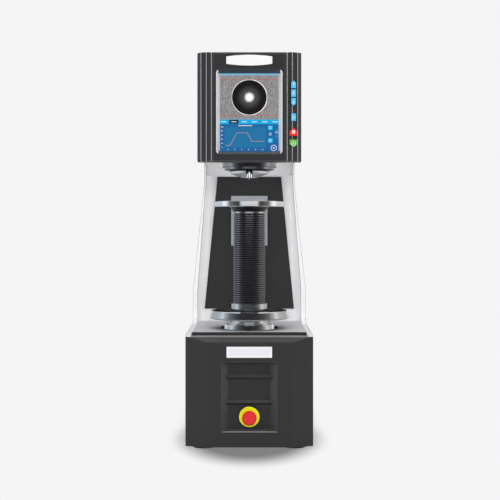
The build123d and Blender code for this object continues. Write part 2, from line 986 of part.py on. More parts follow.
def rounded_y(width, height, radius, z, y0, y1):
    """A rounded rectangle centred on the machine, as a prism along Y."""
    face = Pos(0, y0, z) * Rot(90, 0, 0) * RectangleRounded(width, height, radius)
    return extrude(face, y1 - y0, dir=(0, 1, 0))


def make_display_bezel():
    """The sloping frame around the display, with a flange behind the hood."""
    back = front_y + screen_depth
    frame = rounded_y(bezel_width, bezel_height, bezel_radius, bezel_z, front_y, back)
    flange = rounded_y(
        bezel_width + 2 * bezel_flange, bezel_height + 2 * bezel_flange,
        bezel_radius + bezel_flange, bezel_z,
        front_y + cover_wall, front_y + cover_wall + bezel_flange_t,
    )
    front = Pos(0, front_y, bezel_z) * Rot(90, 0, 0) * RectangleRounded(
        bezel_width - 2 * bezel_wall, bezel_height - 2 * bezel_wall,
        bezel_radius - bezel_wall,
    )
    rear = Pos(0, back, bezel_z) * Rot(90, 0, 0) * RectangleRounded(
        screen_width, screen_height, bezel_inner_radius
    )
    return frame + flange - loft([front, rear], ruled=True)


def make_display_panel():
    """The display module with its cover glass, behind the bezel."""
    y0 = front_y + screen_depth
    return block(
        -screen_width / 2 - lcd_border, screen_width / 2 + lcd_border, y0, y0 + lcd_t,
        bezel_z - screen_height / 2 - lcd_border, bezel_z + screen_height / 2 + lcd_border,
    )


def make_badge_plate():
    """The blank barrel-shaped plate above the display."""
    w = badge_width / 2
    end = badge_end_height / 2
    mid = badge_height / 2
    with BuildPart() as plate:
        with BuildSketch(Plane.XZ):
            with BuildLine():
                a = Line((w, -end), (w, end))
                b = ThreePointArc(a @ 1, (0, mid), (-w, end))
                c = Line(b @ 1, (-w, -end))
                ThreePointArc(c @ 1, (0, -mid), a @ 0)
            make_face()
        extrude(amount=badge_t)
    return Pos(0, front_y, head_z + badge_low + badge_height / 2) * plate.part


def make_key(key):
    """A key cap with the flange that keeps it behind the hood."""
    face_y = front_y + key_face_back
    cap = key_prism(key, 0, face_y, key_flange_y)
    flange = key_prism(key, key_flange, key_flange_y, key_flange_y + key_flange_t)
    return cap + flange


def make_key_board():
    """The circuit board behind the keys, on posts that stand off the hood's inner face."""
    lows = [z - h / 2 for w, h, p, z in keys.values()]
    highs = [z + h / 2 for w, h, p, z in keys.values()]
    x0 = key_x - large_key_width / 2 - key_flange
    x1 = head_width / 2 - cover_wall - hidden_gap
    board = block(
        x0, x1, board_y, board_y + board_t, min(lows) - board_border, max(highs) + board_border
    )
    posts = [min(lows) - board_border / 2, max(highs) + board_border / 2, board_mid_z]
    for z in posts:
        post = rod_y(board_post_d, key_x, z, front_y + cover_wall, board_y)
        board = board + (post & head_room())
    return board


# ---- Emergency stop ----
def make_estop_legend():
    """The round legend plate with its raised dial, bare of words."""
    y = pocket_floor_y
    hole_d = estop_barrel_d + 2 * seat_gap
    plate = rod_y(estop_ring_d, 0, estop_z, y - estop_ring_t, y)
    dial = rod_y(estop_dial_d, 0, estop_z, y - estop_ring_t - estop_dial_t, y - estop_ring_t)
    return plate + dial - rod_y(hole_d, 0, estop_z, y - cut_slack * 2, y + cut_slack)


def make_estop_body():
    """The actuator's collar and threaded barrel, bored for the plunger."""
    collar = rod_y(estop_collar_d, 0, estop_z, estop_collar_y, estop_collar_y + estop_collar_h)
    barrel_end = pocket_floor_y + estop_barrel_length
    barrel = rod_y(estop_barrel_d, 0, estop_z, estop_collar_y, barrel_end)
    bore = rod_y(
        estop_stem_d + 2 * running_gap, 0, estop_z, estop_collar_y - cut_slack,
        barrel_end - cover_wall,
    )
    contacts = block(
        -contact_block_width / 2, contact_block_width / 2,
        barrel_end, barrel_end + contact_block_depth,
        estop_z - contact_block_height / 2, estop_z + contact_block_height / 2,
    )
    return collar + barrel + contacts - bore


def make_estop_nut():
    """The hexagonal panel nut behind the front cover."""
    y0 = pocket_floor_y + cover_wall
    hexagon = Pos(0, y0, estop_z) * Rot(90, 0, 0) * RegularPolygon(estop_nut_d / 2, 6)
    nut = extrude(hexagon, estop_nut_t, dir=(0, 1, 0))
    return nut - rod_y(estop_barrel_d, 0, estop_z, y0 - cut_slack, y0 + estop_nut_t + cut_slack)


def make_estop_plunger():
    """The stem that slides in the barrel, with the journal that the head turns on."""
    stem = rod_y(estop_stem_d, 0, estop_z, estop_head_y, estop_head_y + estop_stem_length)
    journal = rod_y(
        estop_journal_d, 0, estop_z, estop_head_y - estop_journal_length, estop_head_y
    )
    return stem + journal


def make_estop_head():
    """The red mushroom head."""
    r = estop_head_d / 2
    b = estop_bevel
    back = -seat_gap
    front = -estop_head_h - seat_gap
    bore_r = estop_journal_d / 2 + running_gap
    bore_end = -estop_journal_length - seat_gap
    profile = [
        (bore_r, back), (r - b, back), (r, back - b), (r, front + 2 * b),
        (r - b, front + b / 2), (r - 3 * b, front), (0, front), (0, bore_end),
        (bore_r, bore_end),
    ]
    head = turned(profile, 0, 0)
    return Pos(0, estop_head_y, estop_z) * Rot(-90, 0, 0) * head


# ---- Elevating spindle ----
def make_elevating_screw():
    """The elevating screw, with its keyway and the socket for the anvil's stem."""
    screw = disc(screw_d, 0, spindle_y, screw_bottom_z, ring_z)
    y1 = spindle_y + screw_d / 2
    keyway = block(
        -keyway_width / 2, keyway_width / 2, y1 - keyway_depth, y1 + cut_slack,
        screw_bottom_z - cut_slack, ring_z - ring_h,
    )
    socket = disc(
        anvil_stem_d, 0, spindle_y, boss_z - anvil_stem_h, ring_z + cut_slack
    )
    return screw - keyway - socket


def make_elevating_nut():
    """The nut sleeve inside the handwheel, with its flange on the thrust bearing."""
    bore = screw_d + 2 * running_gap
    sleeve = ring(nut_d, bore, 0, spindle_y, nut_z, nut_top_z)
    flange = ring(nut_flange_d, bore, 0, spindle_y, nut_z, nut_z + nut_flange_t)
    return sleeve + flange


def make_thrust_bearing():
    """The lower race that carries the nut in the collar's recess."""
    mid_d = nut_flange_d - bearing_wall
    return ring(
        mid_d + bearing_wall, mid_d - bearing_wall, 0, spindle_y,
        bearing_z, bearing_z + bearing_t,
    )


def make_collar_flange():
    """The bright collar on the deck, recessed for the bearing and drilled for screws."""
    collar = cone(collar_base_d, collar_top_d, 0, spindle_y, deck_z, collar_z)
    recess = disc(collar_recess_d, 0, spindle_y, bearing_z, collar_z + cut_slack)
    bore = disc(
        screw_d + 2 * guide_gap, 0, spindle_y, deck_z - cut_slack, collar_z + cut_slack
    )
    return collar - recess - bore


def make_collar_screws():
    """The black cap screws that clamp the collar at its edge."""
    screws = []
    for i in range(collar_screw_count):
        angle = math.radians(360 * i / collar_screw_count)
        x = collar_screw_reach / 2 * math.cos(angle)
        y = spindle_y + collar_screw_reach / 2 * math.sin(angle)
        screws.append(
            disc(collar_screw_d, x, y, deck_z, deck_z + collar_screw_head_h)
            - disc(collar_screw_d / 2, x, y, deck_z + collar_screw_head_h / 2,
                   deck_z + collar_screw_head_h + cut_slack)
        )
    return screws


def make_handwheel():
    """The round handwheel: a flared rim on a dished web, pressed on the nut sleeve."""
    top = wheel_top_d / 2
    low = wheel_bottom_d / 2
    hub = nut_d / 2
    z0 = wheel_z
    z1 = wheel_z + wheel_h
    web_z = z1 - wheel_dish - wheel_web_t
    soft = wheel_rim_t / 3
    profile = [
        (hub, z0), (hub + wheel_rim_t, z0), (hub + wheel_rim_t, web_z),
        (low - wheel_rim_t, web_z), (low - wheel_rim_t, z0 + soft),
        (low - 2 * soft, z0), (low - soft, z0), (low, z0 + soft),
        (top, z1 - soft / 3), (top - soft / 3, z1), (top - wheel_rim_t, z1),
        (top - wheel_rim_t - wheel_dish, z1 - wheel_dish), (hub + wheel_dish, z1 - wheel_dish),
        (hub + wheel_dish / 2, z1 - wheel_dish / 2), (hub, z1 - wheel_dish / 2),
    ]
    return turned(profile, 0, spindle_y)


def make_anvil_boss():
    """The conical boss under the anvil, its bright ring, and the stem in the screw."""
    boss = cone(boss_bottom_d, boss_top_d, 0, spindle_y, boss_z, boss_z + boss_h)
    boss = boss + disc(ring_d, 0, spindle_y, ring_z, boss_z)
    return boss + disc(anvil_stem_d, 0, spindle_y, boss_z - anvil_stem_h, boss_z)


def make_anvil_plate():
    """The flat round anvil."""
    plate = disc(anvil_d, 0, spindle_y, anvil_z - anvil_t, anvil_z)
    rims = plate.edges().filter_by(GeomType.CIRCLE)
    return chamfer(rims, anvil_edge)


# ---- Turret ----
def make_turret_flange():
    """The fixed stepped ring under the arm that the turret turns in."""
    upper = ring(
        flange_d, flange_bore_d, 0, turret_y, flange_z + flange_step_h, underside_z
    )
    step = ring(
        flange_step_d, flange_bore_d, 0, turret_y, flange_z, flange_z + flange_step_h
    )
    return upper + step


def station(angle):
    """Where a turret station lies, with 0 degrees at the working position."""
    a = math.radians(angle - 90)
    return turret_offset * math.cos(a), turret_y + turret_offset * math.sin(a)


def make_turret_dome():
    """The bowl-shaped turret head, bored for its axle and notched at its stations."""
    r = dome_d / 2
    s = dome_shoulder_d / 2
    shoulder_z = flange_z - dome_shoulder_drop
    lip_z = flange_z - dome_lip_h
    mid = (s + (r - s) * math.sin(math.pi / 4), shoulder_z + (lip_z - shoulder_z) * dome_bulge)
    with BuildPart() as dome:
        with BuildSketch(Plane.XZ):
            with BuildLine():
                a = Line((0, nose_z), (nose_d / 2, nose_z))
                b = Line(a @ 1, (s, shoulder_z))
                c = ThreePointArc(b @ 1, mid, (r, lip_z))
                d = Line(c @ 1, (r, dome_top_z))
                e = Line(d @ 1, (0, dome_top_z))
                Line(e @ 1, a @ 0)
            make_face()
        revolve(axis=Axis.Z, revolution_arc=360)
    head = Pos(0, turret_y, 0) * dome.part
    head = head - disc(
        axle_d + 2 * running_gap, 0, turret_y, nose_z - cut_slack, dome_top_z + cut_slack
    )
    head = head - disc(
        axle_nut_d + 2 * hidden_gap, 0, turret_y, nose_z - cut_slack, axle_z + seat_gap
    )
    x, y = station(0)
    notch = disc(notch_width, x, y, nose_z - cut_slack, flange_z)
    notch = notch + block(
        x - notch_width / 2, x + notch_width / 2, y - r, y, nose_z - cut_slack, flange_z
    )
    head = head - notch - disc(indenter_shank_d, x, y, flange_z - cut_slack, holder_top_z)
    for angle in (120, 240):
        x, y = station(angle)
        head = head - disc(
            objective_d, x, y, nose_z - cut_slack, objective_z + objective_length
        )
    return head


def make_indenter_holder():
    """The dark holder disc at the top of the working notch."""
    x, y = station(0)
    return ring(
        notch_width - 2 * seat_gap, indenter_shank_d, x, y, flange_z - holder_h, flange_z
    )


def make_indenter():
    """The indenter: a thin shank, a round body and a cone that ends in a small ball."""
    x, y = station(0)
    cone_z = tip_z + indenter_cone_h
    body = disc(indenter_d, x, y, cone_z, indenter_top_z)
    shank = disc(indenter_shank_d, x, y, indenter_top_z, holder_top_z)
    point = cone(indenter_tip_d, indenter_d, x, y, tip_z + indenter_tip_d / 2, cone_z)
    ball = Pos(x, y, tip_z + indenter_tip_d / 2) * Sphere(indenter_tip_d / 2)
    return shank + body + point + ball


def make_objectives():
    """The two objectives at the turret's other stations."""
    lenses = []
    for angle in (120, 240):
        x, y = station(angle)
        tube = disc(
            objective_d, x, y, objective_z + objective_tip_h, objective_z + objective_length
        )
        lenses.append(tube + cone(
            objective_tip_d, objective_d, x, y, objective_z, objective_z + objective_tip_h
        ))
    return lenses


# ---- Load train ----
def make_load_ram():
    """The hollow ram, with the disc and the axle that the turret hangs from."""
    shaft = disc(ram_d, 0, spindle_y, ram_disc_z, ram_top_z)
    plate = disc(ram_disc_d, 0, turret_y, ram_disc_z, ram_disc_z + ram_disc_t)
    axle_seat = disc(axle_d, 0, turret_y, ram_disc_z - cut_slack, ram_disc_z + ram_disc_t)
    light_path = disc(
        ram_bore_d, 0, spindle_y, ram_disc_z - cut_slack, ram_top_z - ram_cap_t
    )
    window = rod_y(
        camera_window_d, 0, camera_z, spindle_y - ram_d / 2 - cut_slack, spindle_y
    )
    return shaft + plate - axle_seat - light_path - window


def make_turret_axle():
    """The shoulder bolt that the turret turns on, its head flush with the nose."""
    head = disc(axle_nut_d, 0, turret_y, nose_z, axle_z)
    return head + disc(axle_d, 0, turret_y, axle_z, ram_disc_z + ram_disc_t)


def make_camera_unit():
    """The camera and tube lens that look through the ram's side window."""
    y0 = spindle_y - camera_length
    tube = rod_y(camera_d, 0, camera_z, y0, spindle_y)
    tube = tube - disc(ram_d, 0, spindle_y, camera_z - camera_d, camera_z + camera_d)
    housing = block(
        -camera_body / 2, camera_body / 2, y0 - camera_d / 2, y0,
        camera_z - camera_d / 2 - camera_foot, camera_z + camera_body - camera_d / 2,
    )
    return tube + housing


def make_load_cell():
    """The load cell between the ram and the ball nut."""
    low = disc(cell_d, 0, spindle_y, ram_top_z, ram_top_z + cell_h / 4)
    waist = disc(ram_d, 0, spindle_y, ram_top_z + cell_h / 4, ram_top_z + cell_h * 3 / 4)
    high = disc(cell_d, 0, spindle_y, ram_top_z + cell_h * 3 / 4, cell_top_z)
    return low + waist + high


def make_ball_nut():
    """The ball nut that pushes on the load cell."""
    flange = disc(cell_d, 0, spindle_y, cell_top_z, cell_top_z + cell_h / 4)
    body = disc(ball_nut_d, 0, spindle_y, cell_top_z, ball_nut_z)
    bore = disc(
        ball_screw_d + 2 * running_gap, 0, spindle_y, cell_top_z + cell_h / 4,
        ball_nut_z + cut_slack,
    )
    return flange + body - bore


def make_ball_screw():
    """The ball screw, with the collar that takes the thrust."""
    z0 = cell_top_z + cell_h / 4 + seat_gap
    screw = disc(ball_screw_d, 0, spindle_y, z0, pulley_z + pulley_h)
    shoulder = disc(
        ball_screw_d + 2 * shoulder_w, 0, spindle_y, thrust_z - shoulder_h - seat_gap,
        thrust_z - seat_gap,
    )
    return screw + shoulder


def make_thrust_block():
    """The bridge over the load train that holds the ball screw's bearing."""
    half = bridge_width / 2
    y0 = spindle_y - bridge_depth / 2
    y1 = spindle_y + bridge_depth / 2
    top = block(-half, half, y0, y1, thrust_z, thrust_z + thrust_block_h)
    for side in (-1, 1):
        x0 = side * half
        x1 = side * (half - bridge_wall)
        top = top + block(
            min(x0, x1), max(x0, x1), y0, y1, arm_frame_top_z, thrust_z + thrust_block_h
        )
    return top - disc(
        ball_screw_d + 2 * running_gap, 0, spindle_y, thrust_z - cut_slack,
        thrust_z + thrust_block_h + cut_slack,
    )


def pulley(diameter, bore, y):
    """A flanged belt pulley."""
    rim = diameter + 2 * pulley_flange
    wheel = disc(diameter, 0, y, pulley_z, pulley_z + pulley_h)
    low = disc(rim, 0, y, pulley_z, pulley_z + pulley_flange_t)
    high = disc(rim, 0, y, pulley_z + pulley_h - pulley_flange_t, pulley_z + pulley_h)
    hole = disc(bore, 0, y, pulley_z - cut_slack, pulley_z + pulley_h + cut_slack)
    return wheel + low + high - hole


def make_drive_belt():
    """The toothed belt around both pulleys, shown as a smooth band."""
    mid_z = pulley_z + pulley_h / 2

    def band(grow):
        r0 = screw_pulley_d / 2 + grow
        r1 = motor_pulley_d / 2 + grow
        lean = math.asin((r0 - r1) / pulley_centres)
        c, s = math.cos(lean), math.sin(lean)
        web = [
            (r0 * c, spindle_y + r0 * s), (r1 * c, motor_y + r1 * s),
            (-r1 * c, motor_y + r1 * s), (-r0 * c, spindle_y + r0 * s),
        ]
        z0 = mid_z - belt_width / 2
        z1 = mid_z + belt_width / 2
        body = upright_prism(web, z0, z1)
        return body + disc(2 * r0, 0, spindle_y, z0, z1) + disc(2 * r1, 0, motor_y, z0, z1)

    return band(seat_gap + belt_t) - band(seat_gap)


def make_motor_pulley():
    """The small pulley with the motor shaft that it is pinned to."""
    shaft_z = motor_top_z - motor_length / 2
    shaft = disc(motor_shaft_d, 0, motor_y, shaft_z, pulley_z + pulley_h)
    return pulley(motor_pulley_d, motor_shaft_d, motor_y) + shaft


def make_load_motor():
    """The servo motor behind the ball screw, on its bracket, bored for the shaft."""
    half = motor_body / 2
    can = block(
        -half, half, motor_y - half, motor_y + half, motor_top_z - motor_length, motor_top_z
    )
    can = can - disc(
        motor_shaft_d + 2 * running_gap, 0, motor_y,
        motor_top_z - motor_length / 2 - seat_gap, motor_top_z + cut_slack,
    )
    feet = block(
        -half, half, motor_y - half, motor_y + half, arm_frame_top_z,
        motor_top_z - motor_length,
    )
    room = block(
        -half + bridge_wall, half - bridge_wall,
        motor_y - half - cut_slack, motor_y + half + cut_slack,
        arm_frame_top_z - cut_slack, motor_top_z - motor_length - bridge_wall,
    )
    return can + (feet - room)


# ---- Electrics ----
def make_power_supply():
    """The power supply in its perforated case, on the base plate."""
    return block(
        -supply_width, -electrics_gap, supply_y, supply_y + supply_depth,
        plate_top_z, plate_top_z + supply_height,
    )


def make_computer_unit():
    """The computer that runs the display and the load loop."""
    return block(
        electrics_gap, supply_width, supply_y, supply_y + supply_depth,
        plate_top_z, plate_top_z + supply_height,
    )


def rear_plug_in(x, width, height, depth, proud):
    """A body that fills an opening in the rear cover, with a flange outside."""
    back = back_y - rear_margin
    body = block(
        x - width / 2, x + width / 2, back - depth, back,
        fitting_z - height / 2, fitting_z + height / 2,
    )
    lip = block(
        x - width / 2 - sheet_wall, x + width / 2 + sheet_wall, back, back + proud,
        fitting_z - height / 2 - sheet_wall, fitting_z + height / 2 + sheet_wall,
    )
    return body + lip


def make_mains_inlet():
    """The mains module: a recessed inlet with three blades beside the switch's frame."""
    back = back_y - rear_margin
    module = rear_plug_in(inlet_x, inlet_width, inlet_height, inlet_depth, rear_margin)
    module = module + rear_plug_in(
        switch_x, switch_width, switch_height, switch_depth, sheet_wall
    )
    openings = [
        (inlet_x, inlet_width, inlet_height, inlet_depth),
        (switch_x, switch_width, switch_height, switch_depth),
    ]
    for x, width, height, depth in openings:
        w = width / 2 - inlet_wall
        h = height / 2 - inlet_wall
        module = module - block(
            x - w, x + w, back - depth + inlet_wall, back_y + cut_slack,
            fitting_z - h, fitting_z + h,
        )
    reach = switch_width / 2 - inlet_wall + rocker_pin_reach
    module = module - rod_x(
        rocker_pin_d + 2 * running_gap, rocker_axis_y, fitting_z,
        switch_x - reach, switch_x + reach,
    )
    for i in (-1, 0, 1):
        x = inlet_x + i * blade_pitch
        z = fitting_z + (blade_rise if i == 0 else 0)
        module = module + block(
            x - blade_t, x + blade_t, back - inlet_depth, back - hidden_gap,
            z - blade_h / 2, z + blade_h / 2,
        )
    return module


def make_mains_rocker():
    """The rocker in its on position, with a V-shaped face and a pin to rock on."""
    w = switch_width - 2 * inlet_wall - 2 * rocker_side_gap
    h = switch_height - 2 * inlet_wall - 2 * rocker_end_gap
    y0 = rocker_y - rocker_t
    outline = [
        (y0, fitting_z - h / 2), (y0, fitting_z + h / 2), (rocker_y, fitting_z + h / 2),
        (rocker_y - rocker_dip, fitting_z), (rocker_y, fitting_z - h / 2),
    ]
    body = side_prism(outline, switch_x - w / 2, switch_x + w / 2)
    reach = switch_width / 2 - inlet_wall + rocker_pin_reach - rocker_side_gap
    pin = rod_x(rocker_pin_d, rocker_axis_y, fitting_z, switch_x - reach, switch_x + reach)
    at = Pos(0, rocker_axis_y, fitting_z)
    return at * Rot(rocker_angle, 0, 0) * at.inverse() * (body + pin)


def make_data_sockets():
    """The block of data sockets, with its four openings."""
    shell = rear_plug_in(
        socket_x, socket_block_width, socket_block_height, socket_block_depth, sheet_wall
    )
    back = back_y - rear_margin + sheet_wall
    for i in range(socket_count):
        x = socket_x + (i - (socket_count - 1) / 2) * socket_pitch
        shell = shell - block(
            x - socket_w / 2, x + socket_w / 2, back - socket_deep, back + cut_slack,
            fitting_z - socket_h / 2, fitting_z + socket_h / 2,
        )
    return shell


def make_all():
    """Every node's solids by name."""
    nodes = {
        "levelling_feet": make_levelling_feet(),
        "base_frame": make_base_frame(),
        "upper_frame": make_upper_frame(),
        "side_cheek_left": make_side_cheek_left(),
        "side_cheek_right": make_side_cheek_right(),
        "base_front_cover": make_base_front_cover(),
        "name_plate": make_name_plate(),
        "top_plate": make_top_plate(),
        "top_plate_trim": make_top_plate_trim(),
        "column_liner": make_column_liner(),
        "arm_underside": make_arm_underside(),
        "column_panel": make_column_panel(),
        "column_plaque": make_column_plaque(),
        "rear_cover": make_rear_cover(),
        "head_cover": make_head_cover(),
        "display_bezel": make_display_bezel(),
        "display_panel": make_display_panel(),
        "badge_plate": make_badge_plate(),
        "key_board": make_key_board(),
        "estop_legend": make_estop_legend(),
        "estop_body": make_estop_body(),
        "estop_nut": make_estop_nut(),
        "estop_plunger": make_estop_plunger(),
        "estop_head": make_estop_head(),
        "guide_tube": make_guide_tube(),
        "collar_flange": make_collar_flange(),
        "collar_screws": make_collar_screws(),
        "thrust_bearing": make_thrust_bearing(),
        "elevating_nut": make_elevating_nut(),
        "handwheel": make_handwheel(),
        "elevating_screw": make_elevating_screw(),
        "anvil_boss": make_anvil_boss(),
        "anvil_plate": make_anvil_plate(),
        "turret_flange": make_turret_flange(),
        "turret_dome": make_turret_dome(),
        "turret_axle": make_turret_axle(),
        "indenter_holder": make_indenter_holder(),
        "indenter": make_indenter(),
        "objectives": make_objectives(),
        "load_ram": make_load_ram(),
        "camera_unit": make_camera_unit(),
        "load_cell": make_load_cell(),
        "ball_nut": make_ball_nut(),
        "ball_screw": make_ball_screw(),
        "thrust_block": make_thrust_block(),
        "screw_pulley": pulley(screw_pulley_d, ball_screw_d, spindle_y),
        "motor_pulley": make_motor_pulley(),
        "drive_belt": make_drive_belt(),
        "load_motor": make_load_motor(),
        "power_supply": make_power_supply(),
        "computer_unit": make_computer_unit(),
        "mains_inlet": make_mains_inlet(),
        "mains_rocker": make_mains_rocker(),
        "data_sockets": make_data_sockets(),
    }
    for name, key in keys.items():
        nodes["key_" + name] = make_key(key)
    return nodes


os.makedirs("parts", exist_ok=True)
for name, shape in make_all().items():
    solids = shape if isinstance(shape, list) else [shape]
    pieces = [solid for item in solids for solid in item.solids()]
    export_step(pieces[0] if len(pieces) == 1 else Compound(children=pieces), f"parts/{name}.step")
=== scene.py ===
"""Dresses the column hardness tester: finishes, screw thread, display, key marks and studio."""

import logging
import math
from collections.abc import Sequence
from dataclasses import dataclass, field, replace
from enum import Enum, IntEnum

import bmesh
import bpy
from mathutils import Matrix, Vector


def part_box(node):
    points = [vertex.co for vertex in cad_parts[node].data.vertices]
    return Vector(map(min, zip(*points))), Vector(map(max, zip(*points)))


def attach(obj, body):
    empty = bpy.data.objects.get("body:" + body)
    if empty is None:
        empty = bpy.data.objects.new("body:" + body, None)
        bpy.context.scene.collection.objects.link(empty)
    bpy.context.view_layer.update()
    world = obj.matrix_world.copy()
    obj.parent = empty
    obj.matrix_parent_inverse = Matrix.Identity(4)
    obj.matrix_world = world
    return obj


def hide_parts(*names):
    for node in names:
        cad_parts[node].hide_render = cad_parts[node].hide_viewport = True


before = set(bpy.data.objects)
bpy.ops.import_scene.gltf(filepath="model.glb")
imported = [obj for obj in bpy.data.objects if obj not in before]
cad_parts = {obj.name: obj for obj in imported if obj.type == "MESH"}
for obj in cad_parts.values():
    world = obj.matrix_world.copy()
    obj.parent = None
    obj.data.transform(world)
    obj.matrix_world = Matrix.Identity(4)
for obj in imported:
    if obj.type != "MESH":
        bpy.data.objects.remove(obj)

LOG = logging.getLogger("hardness_tester")
MM = 0.001
Colour = tuple[float, float, float]
Point = tuple[float, float]


class Body(Enum):
    """The moving bodies that new pieces ride on."""

    FRAME = "frame"
    SPINDLE = "spindle"


class Lay(Enum):
    """The way that tool marks run over a metal surface."""

    NONE = "none"
    TURNED = "turned"
    UPRIGHT = "upright"
    LEVEL = "level"


class Kind(Enum):
    """How a mask chooses its part of a surface."""

    BOX = "box_mask"
    RING = "ring_mask"


def linear(shade: str) -> Colour:
    """Turns a screen colour into the renderer's linear one.

    Args:
        shade: Six hexadecimal digits, red, green and blue.

    Returns:
        The linear red, green and blue.
    """
    parts = [int(shade[k : k + 2], 16) / 255 for k in (0, 2, 4)]
    low, split, power = 12.92, 0.04045, 2.4
    return tuple(p / low if p <= split else ((p + 0.055) / 1.055) ** power for p in parts)


def near(node: str) -> Vector:
    """The lowest corner of a CAD node, in millimetres."""
    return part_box(node)[0] / MM


def far(node: str) -> Vector:
    """The highest corner of a CAD node, in millimetres."""
    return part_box(node)[1] / MM


def middle(node: str) -> Vector:
    """The centre of a CAD node's box, in millimetres."""
    return (near(node) + far(node)) / 2


class Tree:
    """A short way to write node trees.

    Args:
        tree: The node tree that the calls write to.
    """

    def __init__(self, tree: bpy.types.NodeTree) -> None:
        """Keeps the tree."""
        self.tree = tree

    def put(self, kind: str, inputs: dict | None = None, **settings: object) -> bpy.types.Node:
        """Adds a node.

        Args:
            kind: The node's type name, without its "ShaderNode".
            inputs: Values or sockets for its inputs, by name or number.
            settings: The node's own properties.

        Returns:
            The node.
        """
        node = self.tree.nodes.new("ShaderNode" + kind)
        for key, value in settings.items():
            setattr(node, key, value)
        for key, value in (inputs or {}).items():
            if isinstance(value, bpy.types.NodeSocket):
                self.tree.links.new(value, node.inputs[key])
            else:
                node.inputs[key].default_value = value
        return node

    def sum(self, operation: str, *terms: object, clamp: bool = False) -> bpy.types.NodeSocket:
        """Adds a Math node and returns its result."""
        pairs = dict(enumerate(terms))
        return self.put("Math", pairs, operation=operation, use_clamp=clamp).outputs[0]

    def ramp(self, value: bpy.types.NodeSocket, low: object, high: object,
             start: object = 0.0, end: object = 1.0) -> bpy.types.NodeSocket:
        """Maps a value smoothly from one range to another, held at both ends."""
        ins = {"Value": value, 1: low, 2: high, 3: start, 4: end}
        node = self.put("MapRange", ins, interpolation_type="SMOOTHSTEP", clamp=True)
        return node.outputs["Result"]

    def mix(self, mask: object, base: object, over: object) -> bpy.types.NodeSocket:
        """Mixes two colours by a mask."""
        base, over = ((*tone, 1.0) if isinstance(tone, tuple) else tone for tone in (base, over))
        ins = {0: mask, 6: base, 7: over}
        return self.put("Mix", ins, data_type="RGBA", clamp_factor=True).outputs[2]

    def shift(self, vector: object, centre: object) -> bpy.types.NodeSocket:
        """A place as it is seen from a centre."""
        return self.put("VectorMath", {0: vector, 1: centre}, operation="SUBTRACT").outputs[0]

    def reach(self, parts: bpy.types.Node) -> bpy.types.NodeSocket:
        """The distance from an upright axis, from a place's three parts."""
        squares = [self.sum("POWER", part, 2.0) for part in parts.outputs[:2]]
        return self.sum("SQRT", self.sum("ADD", *squares))

    def link(self, source: bpy.types.NodeSocket, target: bpy.types.NodeSocket) -> None:
        """Joins two sockets."""
        self.tree.links.new(source, target)

    def blend(self, mask: object, base: object, over: object) -> bpy.types.NodeSocket:
        """Mixes two numbers by a mask."""
        node = self.put("Mix", {0: mask, 2: base, 3: over}, data_type="FLOAT", clamp_factor=True)
        return node.outputs[0]


def new_look(name: str) -> tuple[bpy.types.Material, Tree, bpy.types.Node]:
    """Starts a material and returns it with its tree and its Principled shader."""
    look = bpy.data.materials.new(name)
    look.use_nodes = True
    return look, Tree(look.node_tree), look.node_tree.nodes["Principled BSDF"]


def speckle(base: Colour, spread: float) -> tuple[Colour, Colour]:
    """The darkest and the lightest tone of a mottled colour."""
    dark = tuple(part * (1 - spread) for part in base)
    return dark, tuple(min(1.0, part * (1 + spread)) for part in base)


def metres(place: Sequence[float]) -> tuple[float, ...]:
    """A place or a size in metres, from millimetres."""
    return tuple(part * MM for part in place)


def in_scene(name: str, data: bpy.types.ID) -> bpy.types.Object:
    """Puts a new object with the given data into the scene."""
    made = bpy.data.objects.new(name, data)
    bpy.context.scene.collection.objects.link(made)
    return made


def baked(made: bpy.types.Object) -> bpy.types.Mesh:
    """A new mesh of an object as it is seen, with its modifiers in it."""
    seen = made.evaluated_get(bpy.context.evaluated_depsgraph_get())
    return bpy.data.meshes.new_from_object(seen)


def new_group(name: str, takes: Sequence[tuple[str, str, object]],
              gives: Sequence[tuple[str, str]]) -> tuple[Tree, bpy.types.Node, bpy.types.Node]:
    """Starts a shader node group.

    Args:
        name: The group's name.
        takes: Name, socket kind and default of each input.
        gives: Name and socket kind of each output.

    Returns:
        The tree, its input node and its output node.
    """
    tree = bpy.data.node_groups.new(name, "ShaderNodeTree")
    for label, kind, default in takes:
        socket = tree.interface.new_socket(label, in_out="INPUT", socket_type="NodeSocket" + kind)
        socket.default_value = default
    for label, kind in gives:
        tree.interface.new_socket(label, in_out="OUTPUT", socket_type="NodeSocket" + kind)
    hand = Tree(tree)
    return hand, tree.nodes.new("NodeGroupInput"), tree.nodes.new("NodeGroupOutput")


